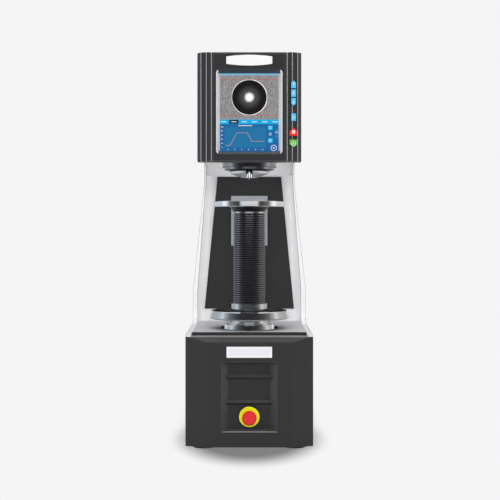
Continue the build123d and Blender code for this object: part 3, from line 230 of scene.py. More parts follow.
class Effects:
    """The shader node groups that the finishes share, each built once."""

    smudge_scale: float = 9.0
    speck_scale: float = 420.0
    streak_scale: float = 60.0
    streak: float = 0.02
    edge_turn: Point = (0.93, 0.995)

    def __init__(self) -> None:
        """Builds every group."""
        self.groups = {
            "grain": self.grain(),
            "marks": self.marks(),
            Kind.BOX.value: self.box_mask(),
            Kind.RING.value: self.ring_mask(),
            "edges": self.edges(),
        }

    def place(self, hand: Tree, name: str, inputs: dict) -> bpy.types.Node:
        """Places a group in a material.

        Args:
            hand: The material's tree.
            name: The group's name.
            inputs: Values or sockets for its inputs.

        Returns:
            The group's node.
        """
        return hand.put("Group", inputs, node_tree=self.groups[name])

    def grain(self) -> bpy.types.NodeTree:
        """The fine pimples of powder coat and moulded plastic, with slow dusting and smudges."""
        takes = [("Vector", "Vector", (0, 0, 0)), ("Size", "Float", 1.0)]
        gives = [("Height", "Float"), ("Mottle", "Float"), ("Smudge", "Float")]
        hand, into, out = new_group("grain", takes, gives)
        rate = hand.sum("DIVIDE", 1.0, hand.sum("MULTIPLY", into.outputs["Size"], MM))
        place = into.outputs["Vector"]
        fine = hand.put("TexNoise", {"Vector": place, "Scale": rate, "Detail": 2.0})
        cells = hand.put("TexVoronoi", {"Vector": place, "Scale": rate}, feature="SMOOTH_F1")
        slow = hand.put("TexNoise", {"Vector": place, "Scale": self.smudge_scale, "Detail": 5.0})
        specks = hand.put("TexNoise", {"Vector": place, "Scale": self.speck_scale, "Detail": 3.0})
        height = hand.sum("SUBTRACT", fine.outputs["Fac"], cells.outputs["Distance"])
        hand.link(height, out.inputs["Height"])
        hand.link(specks.outputs["Fac"], out.inputs["Mottle"])
        hand.link(slow.outputs["Fac"], out.inputs["Smudge"])
        return hand.tree

    def marks(self) -> bpy.types.NodeTree:
        """Fine tool marks: rings round an upright axis, or lines across or along it."""
        takes = [
            ("Vector", "Vector", (0, 0, 0)), ("Axis", "Vector", (0, 0, 0)),
            ("Ring", "Float", 1.0), ("Across", "Float", 0.0), ("Rate", "Float", 900.0),
        ]
        hand, into, out = new_group("marks", takes, [("Height", "Float"), ("Tone", "Float")])
        shifted = hand.shift(into.outputs["Vector"], into.outputs["Axis"])
        parts = hand.put("SeparateXYZ", {0: shifted})
        flat = hand.put("CombineXYZ", {0: hand.reach(parts), 2: parts.outputs[2]})
        stretch = hand.put("CombineXYZ", {0: 1.0, 1: 1.0, 2: self.streak})
        long = hand.put("VectorMath", {0: shifted, 1: stretch.outputs[0]}, operation="MULTIPLY")
        squat = hand.put("CombineXYZ", {0: self.streak, 1: 1.0, 2: 1.0})
        wide = hand.put("VectorMath", {0: shifted, 1: squat.outputs[0]}, operation="MULTIPLY")
        line = hand.put("Mix", {0: into.outputs["Across"], 4: long.outputs[0], 5: wide.outputs[0]},
                        data_type="VECTOR")
        way = hand.put("Mix", {0: into.outputs["Ring"], 4: line.outputs[1], 5: flat.outputs[0]},
                       data_type="VECTOR")
        ins = {"Vector": way.outputs[1], "Scale": into.outputs["Rate"], "Detail": 3.0}
        fine = hand.put("TexNoise", ins)
        ins = {"Vector": way.outputs[1], "Scale": self.streak_scale, "Detail": 2.0}
        slow = hand.put("TexNoise", ins)
        hand.link(fine.outputs["Fac"], out.inputs["Height"])
        hand.link(slow.outputs["Fac"], out.inputs["Tone"])
        return hand.tree

    def box_mask(self) -> bpy.types.NodeTree:
        """One inside a box, with soft walls, and nought outside it."""
        takes = [
            ("Vector", "Vector", (0, 0, 0)), ("Centre", "Vector", (0, 0, 0)),
            ("Half", "Vector", (1, 1, 1)), ("Soft", "Float", 0.0005),
        ]
        hand, into, out = new_group(Kind.BOX.value, takes, [("Mask", "Float")])
        away = hand.shift(into.outputs["Vector"], into.outputs["Centre"])
        size = hand.put("VectorMath", {0: away}, operation="ABSOLUTE").outputs[0]
        parts = hand.put("SeparateXYZ", {0: hand.shift(size, into.outputs["Half"])})
        most = hand.sum("MAXIMUM", parts.outputs[0],
                        hand.sum("MAXIMUM", parts.outputs[1], parts.outputs[2]))
        hand.link(self.soft_wall(hand, most, into), out.inputs["Mask"])
        return hand.tree

    @staticmethod
    def soft_wall(hand: Tree, past: bpy.types.NodeSocket,
                  into: bpy.types.Node) -> bpy.types.NodeSocket:
        """One where the distance past a wall is negative, and nought where it is positive."""
        soft = into.outputs["Soft"]
        return hand.ramp(past, hand.sum("MULTIPLY", soft, -1.0), soft, 1.0, 0.0)

    def ring_mask(self) -> bpy.types.NodeTree:
        """One between two radii about an upright axis, above and below two heights."""
        takes = [
            ("Vector", "Vector", (0, 0, 0)), ("Centre", "Vector", (0, 0, 0)),
            ("Half", "Vector", (0, 1, 1)), ("Soft", "Float", 0.0005),
        ]
        hand, into, out = new_group(Kind.RING.value, takes, [("Mask", "Float")])
        away = hand.shift(into.outputs["Vector"], into.outputs["Centre"])
        parts = hand.put("SeparateXYZ", {0: away})
        limits = hand.put("SeparateXYZ", {0: into.outputs["Half"]})
        radius = hand.reach(parts)
        inner = hand.sum("SUBTRACT", limits.outputs[0], radius)
        outer = hand.sum("SUBTRACT", radius, limits.outputs[1])
        high = hand.sum("SUBTRACT", hand.sum("ABSOLUTE", parts.outputs[2]), limits.outputs[2])
        most = hand.sum("MAXIMUM", inner, hand.sum("MAXIMUM", outer, high))
        hand.link(self.soft_wall(hand, most, into), out.inputs["Mask"])
        return hand.tree

    def edges(self) -> bpy.types.NodeTree:
        """One along sharp outer edges and nought elsewhere, for painted light on the edges."""
        takes = [("Reach", "Float", 0.001)]
        hand, into, out = new_group("edges", takes, [("Mask", "Float")])
        eased = hand.put("Bevel", {"Radius": into.outputs["Reach"]}, samples=6).outputs[0]
        true = hand.put("NewGeometry").outputs["Normal"]
        along = hand.put("VectorMath", {0: eased, 1: true}, operation="DOT_PRODUCT")
        mask = hand.ramp(along.outputs["Value"], *self.edge_turn, 1.0, 0.0)
        hand.link(mask, out.inputs["Mask"])
        return hand.tree


@dataclass(frozen=True)
class Zone:
    """A part of a surface with a tone of its own, in millimetres.

    A box has its half sizes in reach, and a ring has its inner radius, outer radius and half height.
    """

    kind: Kind
    centre: tuple[float, float, float]
    reach: tuple[float, float, float]
    colour: Colour
    roughness: float
    metallic: float = 0.0
    soft: float = 0.3
    facing: tuple[float, float, float] | None = None
    least: float = 0.5


@dataclass(frozen=True)
class Finish:
    """One finish: its tone, its shine and the relief of its surface, sizes in millimetres."""

    name: str
    shade: str
    roughness: float
    metallic: float = 0.0
    coat: float = 0.0
    coat_roughness: float = 0.12
    gloss: float = 0.5
    grain: float = 1.0
    relief: float = 0.0
    mottle: float = 0.0
    smudge: float = 0.04
    lay: Lay = Lay.NONE
    axis: tuple[float, float, float] = (0.0, 0.0, 0.0)
    rate: float = 900.0
    edge: str = ""
    edge_reach: float = 0.8
    zones: tuple[Zone, ...] = ()

    def build(self, effects: Effects) -> bpy.types.Material:
        """Builds the material.

        Args:
            effects: The shared shader groups.

        Returns:
            The material.
        """
        look, hand, shader = new_look(self.name)
        place = hand.put("TexCoord").outputs["Object"]
        skin = effects.place(hand, "grain", {"Vector": place, "Size": self.grain})
        tone = hand.mix(skin.outputs["Mottle"], *speckle(linear(self.shade), self.mottle))
        low, high = self.roughness - self.smudge, self.roughness + self.smudge
        rough = hand.ramp(skin.outputs["Smudge"], 0.3, 0.7, max(0.0, low), min(1.0, high))
        height = skin.outputs["Height"]
        if self.lay is not Lay.NONE:
            height, tone, rough = self.tool_marks(hand, effects, place, tone, rough)
        # Painted light on sharp edges: the mask lightens dark paint as a highlight and darkens white
        # enamel as shade.
        if self.edge:
            edge_shading = effects.place(hand, "edges", {"Reach": self.edge_reach * MM}).outputs["Mask"]
            tone = hand.mix(edge_shading, tone, linear(self.edge))
        metal: object = self.metallic
        for zone in self.zones:
            mask = self.zone_mask(hand, effects, zone, place)
            tone = hand.mix(mask, tone, zone.colour)
            rough = hand.blend(mask, rough, zone.roughness)
            if zone.metallic != self.metallic or not isinstance(metal, float):
                metal = hand.blend(mask, metal, zone.metallic)
        hand.link(tone, shader.inputs["Base Color"])
        hand.link(rough, shader.inputs["Roughness"])
        if isinstance(metal, float):
            shader.inputs["Metallic"].default_value = metal
        else:
            hand.link(metal, shader.inputs["Metallic"])
        shader.inputs["Coat Weight"].default_value = self.coat
        shader.inputs["Coat Roughness"].default_value = self.coat_roughness
        shader.inputs["Specular IOR Level"].default_value = self.gloss
        if self.relief:
            ins = {"Height": height, "Distance": self.relief * MM, "Strength": 1.0}
            bump = hand.put("Bump", ins)
            hand.link(bump.outputs["Normal"], shader.inputs["Normal"])
        return look

    def tool_marks(self, hand: Tree, effects: Effects, place: bpy.types.NodeSocket,
                   tone: bpy.types.NodeSocket, rough: bpy.types.NodeSocket) -> tuple:
        """Adds turned or brushed marks.

        Args:
            hand: The material's tree.
            effects: The shared shader groups.
            place: The surface's own coordinates.
            tone: The colour so far.
            rough: The roughness so far.

        Returns:
            The relief, colour and roughness with the marks in them.
        """
        ins = {
            "Vector": place, "Axis": metres(self.axis), "Rate": self.rate,
            "Ring": float(self.lay is Lay.TURNED), "Across": float(self.lay is Lay.LEVEL),
        }
        made = effects.place(hand, "marks", ins)
        base = linear(self.shade)
        toned = hand.mix(made.outputs["Tone"], speckle(base, self.mottle)[0], base)
        both = hand.mix(0.5, tone, toned)
        rougher = hand.sum("ADD", rough, hand.sum(
            "MULTIPLY", hand.sum("SUBTRACT", made.outputs["Height"], 0.5), 2 * self.smudge), clamp=True)
        return made.outputs["Height"], both, rougher

    @staticmethod
    def zone_mask(hand: Tree, effects: Effects, zone: Zone,
                  place: bpy.types.NodeSocket) -> bpy.types.NodeSocket:
        """The mask of one zone.

        Args:
            hand: The material's tree.
            effects: The shared shader groups.
            zone: The zone.
            place: The surface's own coordinates.

        Returns:
            The mask, from nought to one.
        """
        ins = {
            "Vector": place, "Centre": metres(zone.centre), "Half": metres(zone.reach),
            "Soft": zone.soft * MM,
        }
        mask = effects.place(hand, zone.kind.value, ins).outputs["Mask"]
        if zone.facing is None:
            return mask
        normal = hand.put("NewGeometry").outputs["Normal"]
        turned = hand.put("VectorTransform", {0: normal}, vector_type="NORMAL",
                          convert_from="WORLD", convert_to="OBJECT").outputs[0]
        along = hand.put("VectorMath", {0: turned, 1: zone.facing}, operation="DOT_PRODUCT")
        faces = hand.ramp(along.outputs["Value"], zone.least, min(1.0, zone.least + 0.15))
        return hand.sum("MULTIPLY", mask, faces)


class Workbench:
    """Makes, names and seats new pieces, and keeps the built materials."""

    def __init__(self, effects: Effects) -> None:
        """Keeps the shared shader groups."""
        self.effects = effects
        self.made: dict[str, bpy.types.Material] = {}

    def look(self, finish: "Finish | Glow") -> bpy.types.Material:
        """The material of a finish, built the first time that it is asked for."""
        if finish.name not in self.made:
            self.made[finish.name] = finish.build(self.effects)
        return self.made[finish.name]

    def dress(self, node: str, finish: "Finish | Glow") -> None:
        """Gives a CAD node one material over all its slots.

        Args:
            node: The node's name.
            finish: Its finish.
        """
        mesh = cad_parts[node].data
        mesh.materials.clear()
        mesh.materials.append(self.look(finish))
        LOG.info("dressed %s with %s", node, finish.name)

    def carve(self, shape: bmesh.types.BMesh, knife: bmesh.types.BMesh) -> None:
        """Takes one closed shape away from another.

        Args:
            shape: The shape that is cut.
            knife: The shape that is taken away, which is used up.
        """
        holders = []
        for part in (shape, knife):
            mesh = bpy.data.meshes.new("carving")
            part.to_mesh(mesh)
            holders.append(in_scene("carving", mesh))
        block, tool = holders
        step = block.modifiers.new("carving", "BOOLEAN")
        step.operation, step.solver, step.object = "DIFFERENCE", "EXACT", tool
        mesh = baked(block)
        knife.free()
        shape.clear()
        shape.from_mesh(mesh)
        for spent in (mesh, block.data, tool.data):
            bpy.data.meshes.remove(spent)

    def seat(self, name: str, shape: bmesh.types.BMesh, looks: Sequence[bpy.types.Material],
             body: Body, smooth: float = 30.0) -> bpy.types.Object:
        """Makes a shape the mesh of a new piece that rides on a body.

        Args:
            name: The piece's name.
            shape: Its shape in millimetres, which is used up.
            looks: Its materials, in the order of their numbers.
            body: The body that it moves with.
            smooth: The greatest angle, in degrees, that is shaded as a curve.

        Returns:
            The piece.
        """
        bmesh.ops.scale(shape, vec=(MM, MM, MM), verts=shape.verts)
        for edge in shape.edges:
            edge.smooth = len(edge.link_faces) == 2 and edge.calc_face_angle(0) < math.radians(smooth)
        for face in shape.faces:
            face.smooth = True
        mesh = bpy.data.meshes.new(name)
        shape.to_mesh(mesh)
        shape.free()
        for look in looks:
            mesh.materials.append(look)
        piece = in_scene(name, mesh)
        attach(piece, body.value)
        LOG.info("made %s: %d faces", name, len(mesh.polygons))
        return piece


@dataclass(frozen=True)
class Glow:
    """A flat tone of a lit display, with film grain or a bright heart where it has them."""

    name: str
    shade: str
    strength: float = 1.0
    film: float = 0.0
    heart: tuple[float, float, float] | None = None
    heart_reach: float = 1.0
    halo: float = 0.075
    core: float = 0.92
    ragged: float = 6.0
    gloss: float = 0.12
    roughness: float = 0.22
    speck: float = 0.9
    least_film: float = 0.04
    unlit: Colour = (0.004, 0.004, 0.004)

    def build(self, effects: Effects) -> bpy.types.Material:
        """Builds the material.

        Args:
            effects: The shared shader groups.

        Returns:
            The material.
        """
        look, hand, shader = new_look(self.name)
        shader.inputs["Base Color"].default_value = (*self.unlit, 1)
        shader.inputs["Roughness"].default_value = self.roughness
        shader.inputs["Specular IOR Level"].default_value = self.gloss
        shader.inputs["Emission Strength"].default_value = self.strength
        place = hand.put("TexCoord").outputs["Object"]
        skin = effects.place(hand, "grain", {"Vector": place, "Size": self.speck})
        spread = max(self.film, self.least_film)
        stretch = hand.ramp(skin.outputs["Mottle"], 0.32, 0.68)
        tone = hand.mix(stretch, *speckle(linear(self.shade), spread))
        if self.heart:
            away = hand.put("VectorMath", {0: place, 1: metres(self.heart)},
                            operation="DISTANCE").outputs["Value"]
            ragged = hand.sum("ADD", away, hand.sum(
                "MULTIPLY", hand.sum("SUBTRACT", skin.outputs["Mottle"], 0.5), self.ragged * MM))
            reach = self.heart_reach * MM
            halo = hand.ramp(away, reach * 0.24, reach * 0.78, self.halo, 0.0)
            core = hand.ramp(ragged, reach * 0.14, reach * 0.34, self.core, 0.0)
            tone = hand.mix(hand.sum("ADD", halo, core, clamp=True), tone, (1.0, 1.0, 1.0))
        hand.link(tone, shader.inputs["Emission Color"])
        return look


@dataclass
class Flat:
    """Flat marks on a plane that faces the operator.

    Places are in millimetres to the right of and above the centre. A layer stands proud of the last.
    A digit's height is a part of its type size.
    """

    centre: Vector
    step: float = 0.06
    segments: int = 64
    digit_part: float = 0.7
    shape: bmesh.types.BMesh = field(default_factory=bmesh.new)

    def raise_faces(self, faces: Sequence[bmesh.types.BMFace], look: int, layer: int) -> None:
        """Stands flat faces on the plane and gives them their thickness.

        Args:
            faces: Faces drawn in the X and Y directions.
            look: The number of their material.
            layer: How many steps they stand proud.
        """
        grown = bmesh.ops.extrude_face_region(self.shape, geom=faces, use_keep_orig=True)["geom"]
        top = [part for part in grown if isinstance(part, bmesh.types.BMVert)]
        bmesh.ops.translate(self.shape, verts=top, vec=(0, 0, self.step * (layer + 1)))
        corners = {corner for face in faces for corner in face.verts} | set(top)
        stand = Matrix.Translation(self.centre) @ Matrix.Rotation(math.pi / 2, 4, "X")
        bmesh.ops.transform(self.shape, matrix=stand, verts=list(corners))
        touched = {face for corner in corners for face in corner.link_faces}
        bmesh.ops.recalc_face_normals(self.shape, faces=list(touched))
        for face in touched:
            face.material_index = look

    def bar(self, x: float, z: float, width: float, height: float, look: int, layer: int = 0,
            turn: float = 0.0) -> None:
        """A rectangle about a point, turned by an angle in radians."""
        grid = Matrix.Translation((x, z, 0)) @ Matrix.Rotation(turn, 4, "Z")
        grid = grid @ Matrix.Diagonal((width, height, 1, 1))
        made = bmesh.ops.create_grid(self.shape, x_segments=1, y_segments=1, size=0.5, matrix=grid)
        self.raise_faces(list({f for v in made["verts"] for f in v.link_faces}), look, layer)

    def spot(self, x: float, z: float, radius: float, look: int, layer: int = 0,
             sides: int = 0) -> None:
        """A disc about a point, or an even shape with that many sides."""
        made = bmesh.ops.create_circle(
            self.shape, cap_ends=True, segments=sides or self.segments, radius=radius,
            matrix=Matrix.Translation((x, z, 0)))
        self.raise_faces(list({f for v in made["verts"] for f in v.link_faces}), look, layer)

    def patch(self, points: Sequence[Point], look: int, layer: int = 0) -> None:
        """A shape with the given corners."""
        corners = [self.shape.verts.new((x, z, 0)) for x, z in points]
        self.raise_faces([self.shape.faces.new(corners)], look, layer)

    def stroke(self, points: Sequence[Point], width: float, look: int, layer: int = 0) -> None:
        """A line through the given points."""
        for (x0, z0), (x1, z1) in zip(points, points[1:]):
            long = math.hypot(x1 - x0, z1 - z0)
            turn = math.atan2(z1 - z0, x1 - x0)
            self.bar((x0 + x1) / 2, (z0 + z1) / 2, long + width, width, look, layer, turn)

    def hoop(self, x: float, z: float, radius: float, width: float, look: int,
             layer: int = 0) -> None:
        """A thin ring, made as a round line."""
        turns = [2 * math.pi * k / self.segments for k in range(self.segments + 1)]
        points = [(x + radius * math.cos(a), z + radius * math.sin(a)) for a in turns]
        self.stroke(points, width, look, layer)

    def figure(self, text: str, x: float, z: float, height: float, look: int,
               layer: int = 0) -> None:
        """A number, centred on a point.

        Args:
            text: The digits.
            x: The centre, to the right.
            z: The centre, upwards.
            height: The height of the digits.
            look: The number of their material.
            layer: How many steps they stand proud.
        """
        curve = bpy.data.curves.new("digits", "FONT")
        curve.body, curve.size = text, height / self.digit_part
        curve.align_x, curve.align_y = "CENTER", "CENTER"
        holder = in_scene("digits", curve)
        mesh = baked(holder)
        bpy.data.objects.remove(holder)
        before = set(self.shape.faces)
        mesh.transform(Matrix.Translation((x, z, 0)))
        self.shape.from_mesh(mesh)
        bpy.data.meshes.remove(mesh)
        fresh = [face for face in self.shape.faces if face not in before]
        self.raise_faces(fresh, look, layer)


def turned(name: str, shade: str, roughness: float, node: str, **more: object) -> Finish:
    """A finish with turned marks about a node's own upright axis."""
    centre = middle(node)
    return Finish(name, shade, roughness, lay=Lay.TURNED, axis=(centre.x, centre.y, 0), **more)


FRONT, UPWARDS = (0, -1, 0), (0, 0, 1)


class SubAssembly:
    """A group of pieces that are dressed together, and its new pieces where it has any."""

    def dress(self, bench: Workbench) -> None:
        """Gives the group's CAD nodes their finish."""

    def build(self, bench: Workbench) -> None:
        """Makes the group's new pieces."""


@dataclass
class PaintedCovers(SubAssembly):
    """The painted sheet-metal covers, the deck and the flanks."""

    # The dark paint's lighter edges are painted highlights.
    paint: Finish = Finish("charcoal_texture", "2c2c2d", 0.5, gloss=0.32, grain=0.9,
                           relief=0.03, mottle=0.12, edge="555556", edge_reach=1.5)
    panel: Finish = Finish("charcoal_panel", "333334", 0.55, gloss=0.3, grain=0.8, relief=0.03,
                           mottle=0.16)
    # The white enamel's darker edges are painted shade.
    white: Finish = Finish("white_enamel", "f6f6f6", 0.38, gloss=0.4, grain=1.6, relief=0.012,
                           mottle=0.01, edge="88888a", edge_reach=2.4)
    light: Finish = Finish("light_grey_enamel", "fafafb", 0.45, gloss=0.3, grain=1.4,
                           relief=0.012, mottle=0.015)
    primer: Finish = Finish("grey_primer", "56585b", 0.6, grain=1.8, relief=0.03, mottle=0.08)
    # Tone of the painted highlights along the head's ridge edges.
    ridge_highlight_tone: str = "b2b2b6"
    edge_width: float = 0.8
    ridges: tuple[float, ...] = (82.3, 93.6, 105.5)
    ridge_back: float = 12.0
    ridge_reach: float = 14.0
    # Tones of painted light and shade on the base and deck: the top lip's highlight, the shadow round
    # the name plate, the collar's shadow on the deck, the pocket's lit walls, ledge and sill, and the
    # lit top bevel.
    lip_highlight: str = "8c8c8e"
    plate_shadow_tone: str = "1d1d1e"
    collar_shadow: str = "3c3c3e"
    slope: str = "404041"
    lit_ledge_tone: str = "444446"
    lit_sill_tone: str = "88888b"
    lit_bevel: str = "3b3b3c"
    brow_drop: float = 40.0
    brow_reach: float = 30.0
    brow_way: tuple[float, float, float] = (0, -0.6, 0.8)
    lip_height: float = 1.0
    plate_shadow_width: float = 1.6
    plate_shadow_depth: float = 1.5
    collar_shadow_reach: float = 76.0
    collar_shadow_height: float = 60.0
    collar_shadow_soft: float = 24.0
    deck: str = "c8c8ca"
    pocket_half: Point = (62.0, 78.0)
    pocket_middle: float = 108.6
    pocket_back: float = 8.0
    pocket_reach: float = 10.0

    def dress(self, bench: Workbench) -> None:
        """Gives the covers their paint."""
        nodes = {
            "base_front_cover": self.base_finish(), "head_cover": self.head_finish(),
            "top_plate_trim": self.panel,
            "column_panel": self.panel, "side_cheek_left": self.white,
            "side_cheek_right": self.white, "top_plate": self.deck_finish(),
            "column_liner": self.light,
            "arm_underside": self.light, "rear_cover": self.light, "base_frame": self.primer,
            "upper_frame": self.primer, "thrust_block": self.primer,
        }
        for node, finish in nodes.items():
            bench.dress(node, finish)

    def base_finish(self) -> Finish:
        """The base's paint, with painted highlights on its top lip and top bevel, a painted shadow
        round the name plate and painted light on the pocket's walls.
        """
        low, high = near("base_front_cover"), far("base_front_cover")
        plate, size = middle("name_plate"), far("name_plate") - near("name_plate")
        deck = near("top_plate").y
        # Painted highlight: the flat top of the cover is lighter where it faces up to the light.
        lip_highlight = Zone(Kind.BOX, (0, (low.y + deck) / 2, high.z),
                   (high.x, (deck - low.y) / 2, self.lip_height), linear(self.lip_highlight), 0.5,
                   facing=UPWARDS, least=0.8)
        # Painted shadow: a dark line round the raised name plate.
        plate_shadow = Zone(Kind.BOX, (plate.x, low.y, plate.z),
                     (size.x / 2 + self.plate_shadow_width, self.plate_shadow_depth,
                      size.z / 2 + self.plate_shadow_width),
                     linear(self.plate_shadow_tone), 0.6, facing=FRONT)
        # Painted light: the pocket's side walls, upward faces and sill are lighter, as where light
        # falls into the recess.
        wide, tall = self.pocket_half
        deep, back = self.pocket_reach, low.y + self.pocket_back
        pocket_light = [
            Zone(Kind.BOX, (0, back, self.pocket_middle), (wide, deep, tall), linear(tone), 0.5,
                 facing=way, least=0.3)
            for tone, way in ((self.slope, (1, 0, 0)), (self.slope, (-1, 0, 0)),
                              (self.lit_ledge_tone, UPWARDS))]
        pocket_light.append(Zone(Kind.BOX, (0, back, self.pocket_middle - tall), (wide, deep, deep),
                           linear(self.lit_sill_tone), 0.5, facing=UPWARDS, least=0.3))
        # Painted highlight: the cover's upper front is lighter where it faces up and forward.
        lit_bevel = Zone(Kind.BOX, (0, low.y, high.z), (high.x, self.brow_reach, self.brow_drop),
                    linear(self.lit_bevel), 0.5, facing=self.brow_way, least=0.8)
        return replace(self.paint, name="charcoal_base", zones=(lit_bevel, lip_highlight, plate_shadow, *pocket_light))

    def deck_finish(self) -> Finish:
        """The deck's enamel, with a painted shadow and reflection of the collar round it."""
        collar = middle("collar_flange")
        # Painted shadow and reflection: a dark soft ring on the deck round the collar.
        collar_shadow = Zone(Kind.RING, tuple(collar), (0, self.collar_shadow_reach, self.collar_shadow_height),
                    linear(self.collar_shadow), 0.4, soft=self.collar_shadow_soft)
        return replace(self.light, name="deck_enamel", shade=self.deck, zones=(collar_shadow,))

    def head_finish(self) -> Finish:
        """The head's paint, with painted highlights along the edges of its upright ridges."""
        low, high = near("head_cover"), far("head_cover")
        centre = (low + high) / 2
        reach = (self.edge_width, self.ridge_reach, (high.z - low.z) / 2)
        # Painted highlights: light strips along the ridge edges, where the real edges catch the light.
        zones = [
            Zone(Kind.BOX, (side * line, low.y + self.ridge_back, centre.z), reach,
                 linear(self.ridge_highlight_tone), 0.35, soft=0.25)
            for side in (-1, 1) for line in self.ridges]
        return replace(self.paint, name="charcoal_head", zones=tuple(zones))


@dataclass
class Plates(SubAssembly):
    """The blank name plate, badge and column plaque."""

    white: Finish = Finish("blank_white_plate", "eaeaea", 0.35, gloss=0.2, grain=2.0,
                           relief=0.004, mottle=0.004)
    silver: Finish = Finish("blank_silver_plate", "b6babe", 0.4, metallic=0.3, mottle=0.08,
                            lay=Lay.LEVEL, rate=700.0, relief=0.004)
    inner: str = "e2e3e8"
    border: float = 5.0
    inner_reach: float = 9.0

    def dress(self, bench: Workbench) -> None:
        """Gives the plates their finish."""
        plate = middle("name_plate")
        half = (far("name_plate") - near("name_plate")) / 2
        inner = Zone(Kind.BOX, tuple(plate),
                     (half.x - self.border, self.inner_reach, half.z - self.border),
                     linear(self.inner), 0.35, soft=0.4)
        bench.dress("name_plate", replace(self.white, name="name_plate_white", zones=(inner,)))
        bench.dress("badge_plate", self.white)
        bench.dress("column_plaque", self.silver)


@dataclass
class ScrewGroup(SubAssembly):
    """The elevating screw with its thread, the handwheel, the collar and the anvil."""

    pitch: float = 5.0
    thread_depth: float = 2.4
    crest: float = 2.0
    flank: float = 0.8
    clearance: float = 0.25
    keyway_width: float = 10.0
    keyway_depth: float = 5.0
    ring_height: float = 3.0
    slack: float = 2.0
    crest_skin: float = 0.4
    steps: int = 72
    oxide: Finish = Finish("black_oxide_thread", "161718", 0.3, metallic=0.6, grain=0.8,
                           relief=0.004, mottle=0.2)
    crest_highlight_tone: str = "7c7d82"
    chrome_tone: str = "d0d1d4"
    steel_tone: str = "8c8d90"
    dish_tone: str = "0d0d0e"
    anvil_shadow_tone: str = "101112"
    rim_lip: float = 4.5
    dish_depth: float = 14.0
    throat: float = 11.5
    bolts: Finish = Finish("black_oxide", "1b1b1c", 0.42, metallic=0.6, grain=0.6, relief=0.01,
                           mottle=0.2)

    def chrome(self, name: str, node: str, zones: tuple[Zone, ...] = ()) -> Finish:
        """Polished chrome with turned marks about a node's own axis."""
        return turned(name, self.chrome_tone, 0.14, node, metallic=1.0, mottle=0.05, rate=650.0,
                      relief=0.002, zones=zones)

    def dress(self, bench: Workbench) -> None:
        """Gives the screw group's CAD nodes their finish."""
        top, low, centre = far("handwheel"), near("handwheel"), middle("handwheel")
        dish = (top.x - low.x) / 2 - 2 * self.rim_lip
        black = Zone(Kind.RING, (centre.x, centre.y, top.z), (0, dish, self.dish_depth),
                     linear(self.dish_tone), 0.4, facing=UPWARDS, least=0.2)
        bench.dress("handwheel", self.chrome("wheel_chrome", "handwheel", (black,)))
        bench.dress("elevating_nut", self.chrome("nut_chrome", "elevating_nut"))
        bench.dress("collar_flange", self.chrome("collar_chrome", "collar_flange"))
        boss = far("anvil_boss")
        # Painted shadow: the boss's upper part is darkened just under the anvil plate.
        throat = Zone(Kind.RING, (centre.x, centre.y, boss.z), (0, boss.x, self.throat),
                      linear(self.anvil_shadow_tone), 0.35, 0.6, soft=0.6)
        bench.dress("anvil_boss", self.chrome("boss_chrome", "anvil_boss", (throat,)))
        bench.dress("anvil_plate", self.chrome("anvil_chrome", "anvil_plate"))
        bench.dress("collar_screws", self.bolts)
        ground = turned("ground_steel", self.steel_tone, 0.3, "handwheel", metallic=1.0,
                        mottle=0.1, relief=0.003)
        for node in ("load_ram", "load_cell", "ball_nut", "ball_screw", "turret_axle"):
            bench.dress(node, ground)
        for node in ("guide_tube", "thrust_bearing"):
            bench.dress(node, self.bolts)

    def build(self, bench: Workbench) -> None:
        """Cuts the screw's thread as one continuous helix."""
        low, high = near("elevating_screw"), far("elevating_screw")
        centre = middle("elevating_screw")
        radius = (high.x - low.x) / 2 - self.clearance
        root = radius - self.thread_depth
        shape = bmesh.new()
        turns = int((high.z - low.z) / self.pitch) + 2
        line = []
        for turn in range(turns):
            z = low.z - self.pitch + turn * self.pitch
            for reach, rise in ((radius, 0.0), (radius, self.crest),
                                (root, self.crest + self.flank), (root, self.pitch - self.flank)):
                line.append(shape.verts.new((centre.x + reach, centre.y, z + rise)))
        line.append(shape.verts.new((centre.x + radius, centre.y, low.z + (turns - 1) * self.pitch)))
        rails = [shape.edges.new(pair) for pair in zip(line, line[1:])]
        bmesh.ops.spin(shape, geom=line + rails, cent=centre, axis=(0, 0, 1), steps=self.steps,
                       dvec=(0, 0, self.pitch / self.steps), angle=2 * math.pi, use_merge=False)
        bmesh.ops.remove_doubles(shape, verts=shape.verts, dist=0.02)
        for height, side in ((low.z, -1), (high.z, 1)):
            cut = bmesh.ops.bisect_plane(
                shape, geom=shape.verts[:] + shape.edges[:] + shape.faces[:], dist=1e-4,
                plane_co=(0, 0, height), plane_no=(0, 0, side), clear_outer=True)["geom_cut"]
            rim = [part for part in cut if isinstance(part, bmesh.types.BMEdge)]
            bmesh.ops.edgeloop_fill(shape, edges=rim)
        bmesh.ops.recalc_face_normals(shape, faces=shape.faces)
        bench.carve(shape, self.keyway(low, high))
        # Painted highlight: the thread's crests are lighter, with a smoother, more metallic skin.
        crests = Zone(Kind.RING, tuple(centre), (radius - self.crest_skin, high.x, high.z),
                      linear(self.crest_highlight_tone), 0.1, 0.9, soft=0.1)
        look = bench.look(replace(self.oxide, zones=(crests,)))
        piece = bench.seat("screw_thread", shape, [look], Body.SPINDLE)
        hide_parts("elevating_screw")

    def keyway(self, low: Vector, high: Vector) -> bmesh.types.BMesh:
        """The block that the keyway takes out of the screw's back, under its plain ring.

        Args:
            low: The screw's lowest corner.
            high: The screw's highest corner.

        Returns:
            The block, in millimetres.
        """
        size = Vector((self.keyway_width, self.keyway_depth + self.slack,
                       high.z - self.ring_height - low.z + self.slack))
        centre = ((low.x + high.x) / 2, high.y - self.keyway_depth + size.y / 2,
                  low.z - self.slack + size.z / 2)
        knife = bmesh.new()
        bmesh.ops.create_cube(knife, size=1.0, matrix=Matrix.Translation(centre)
                              @ Matrix.Diagonal((*size, 1)))
        return knife


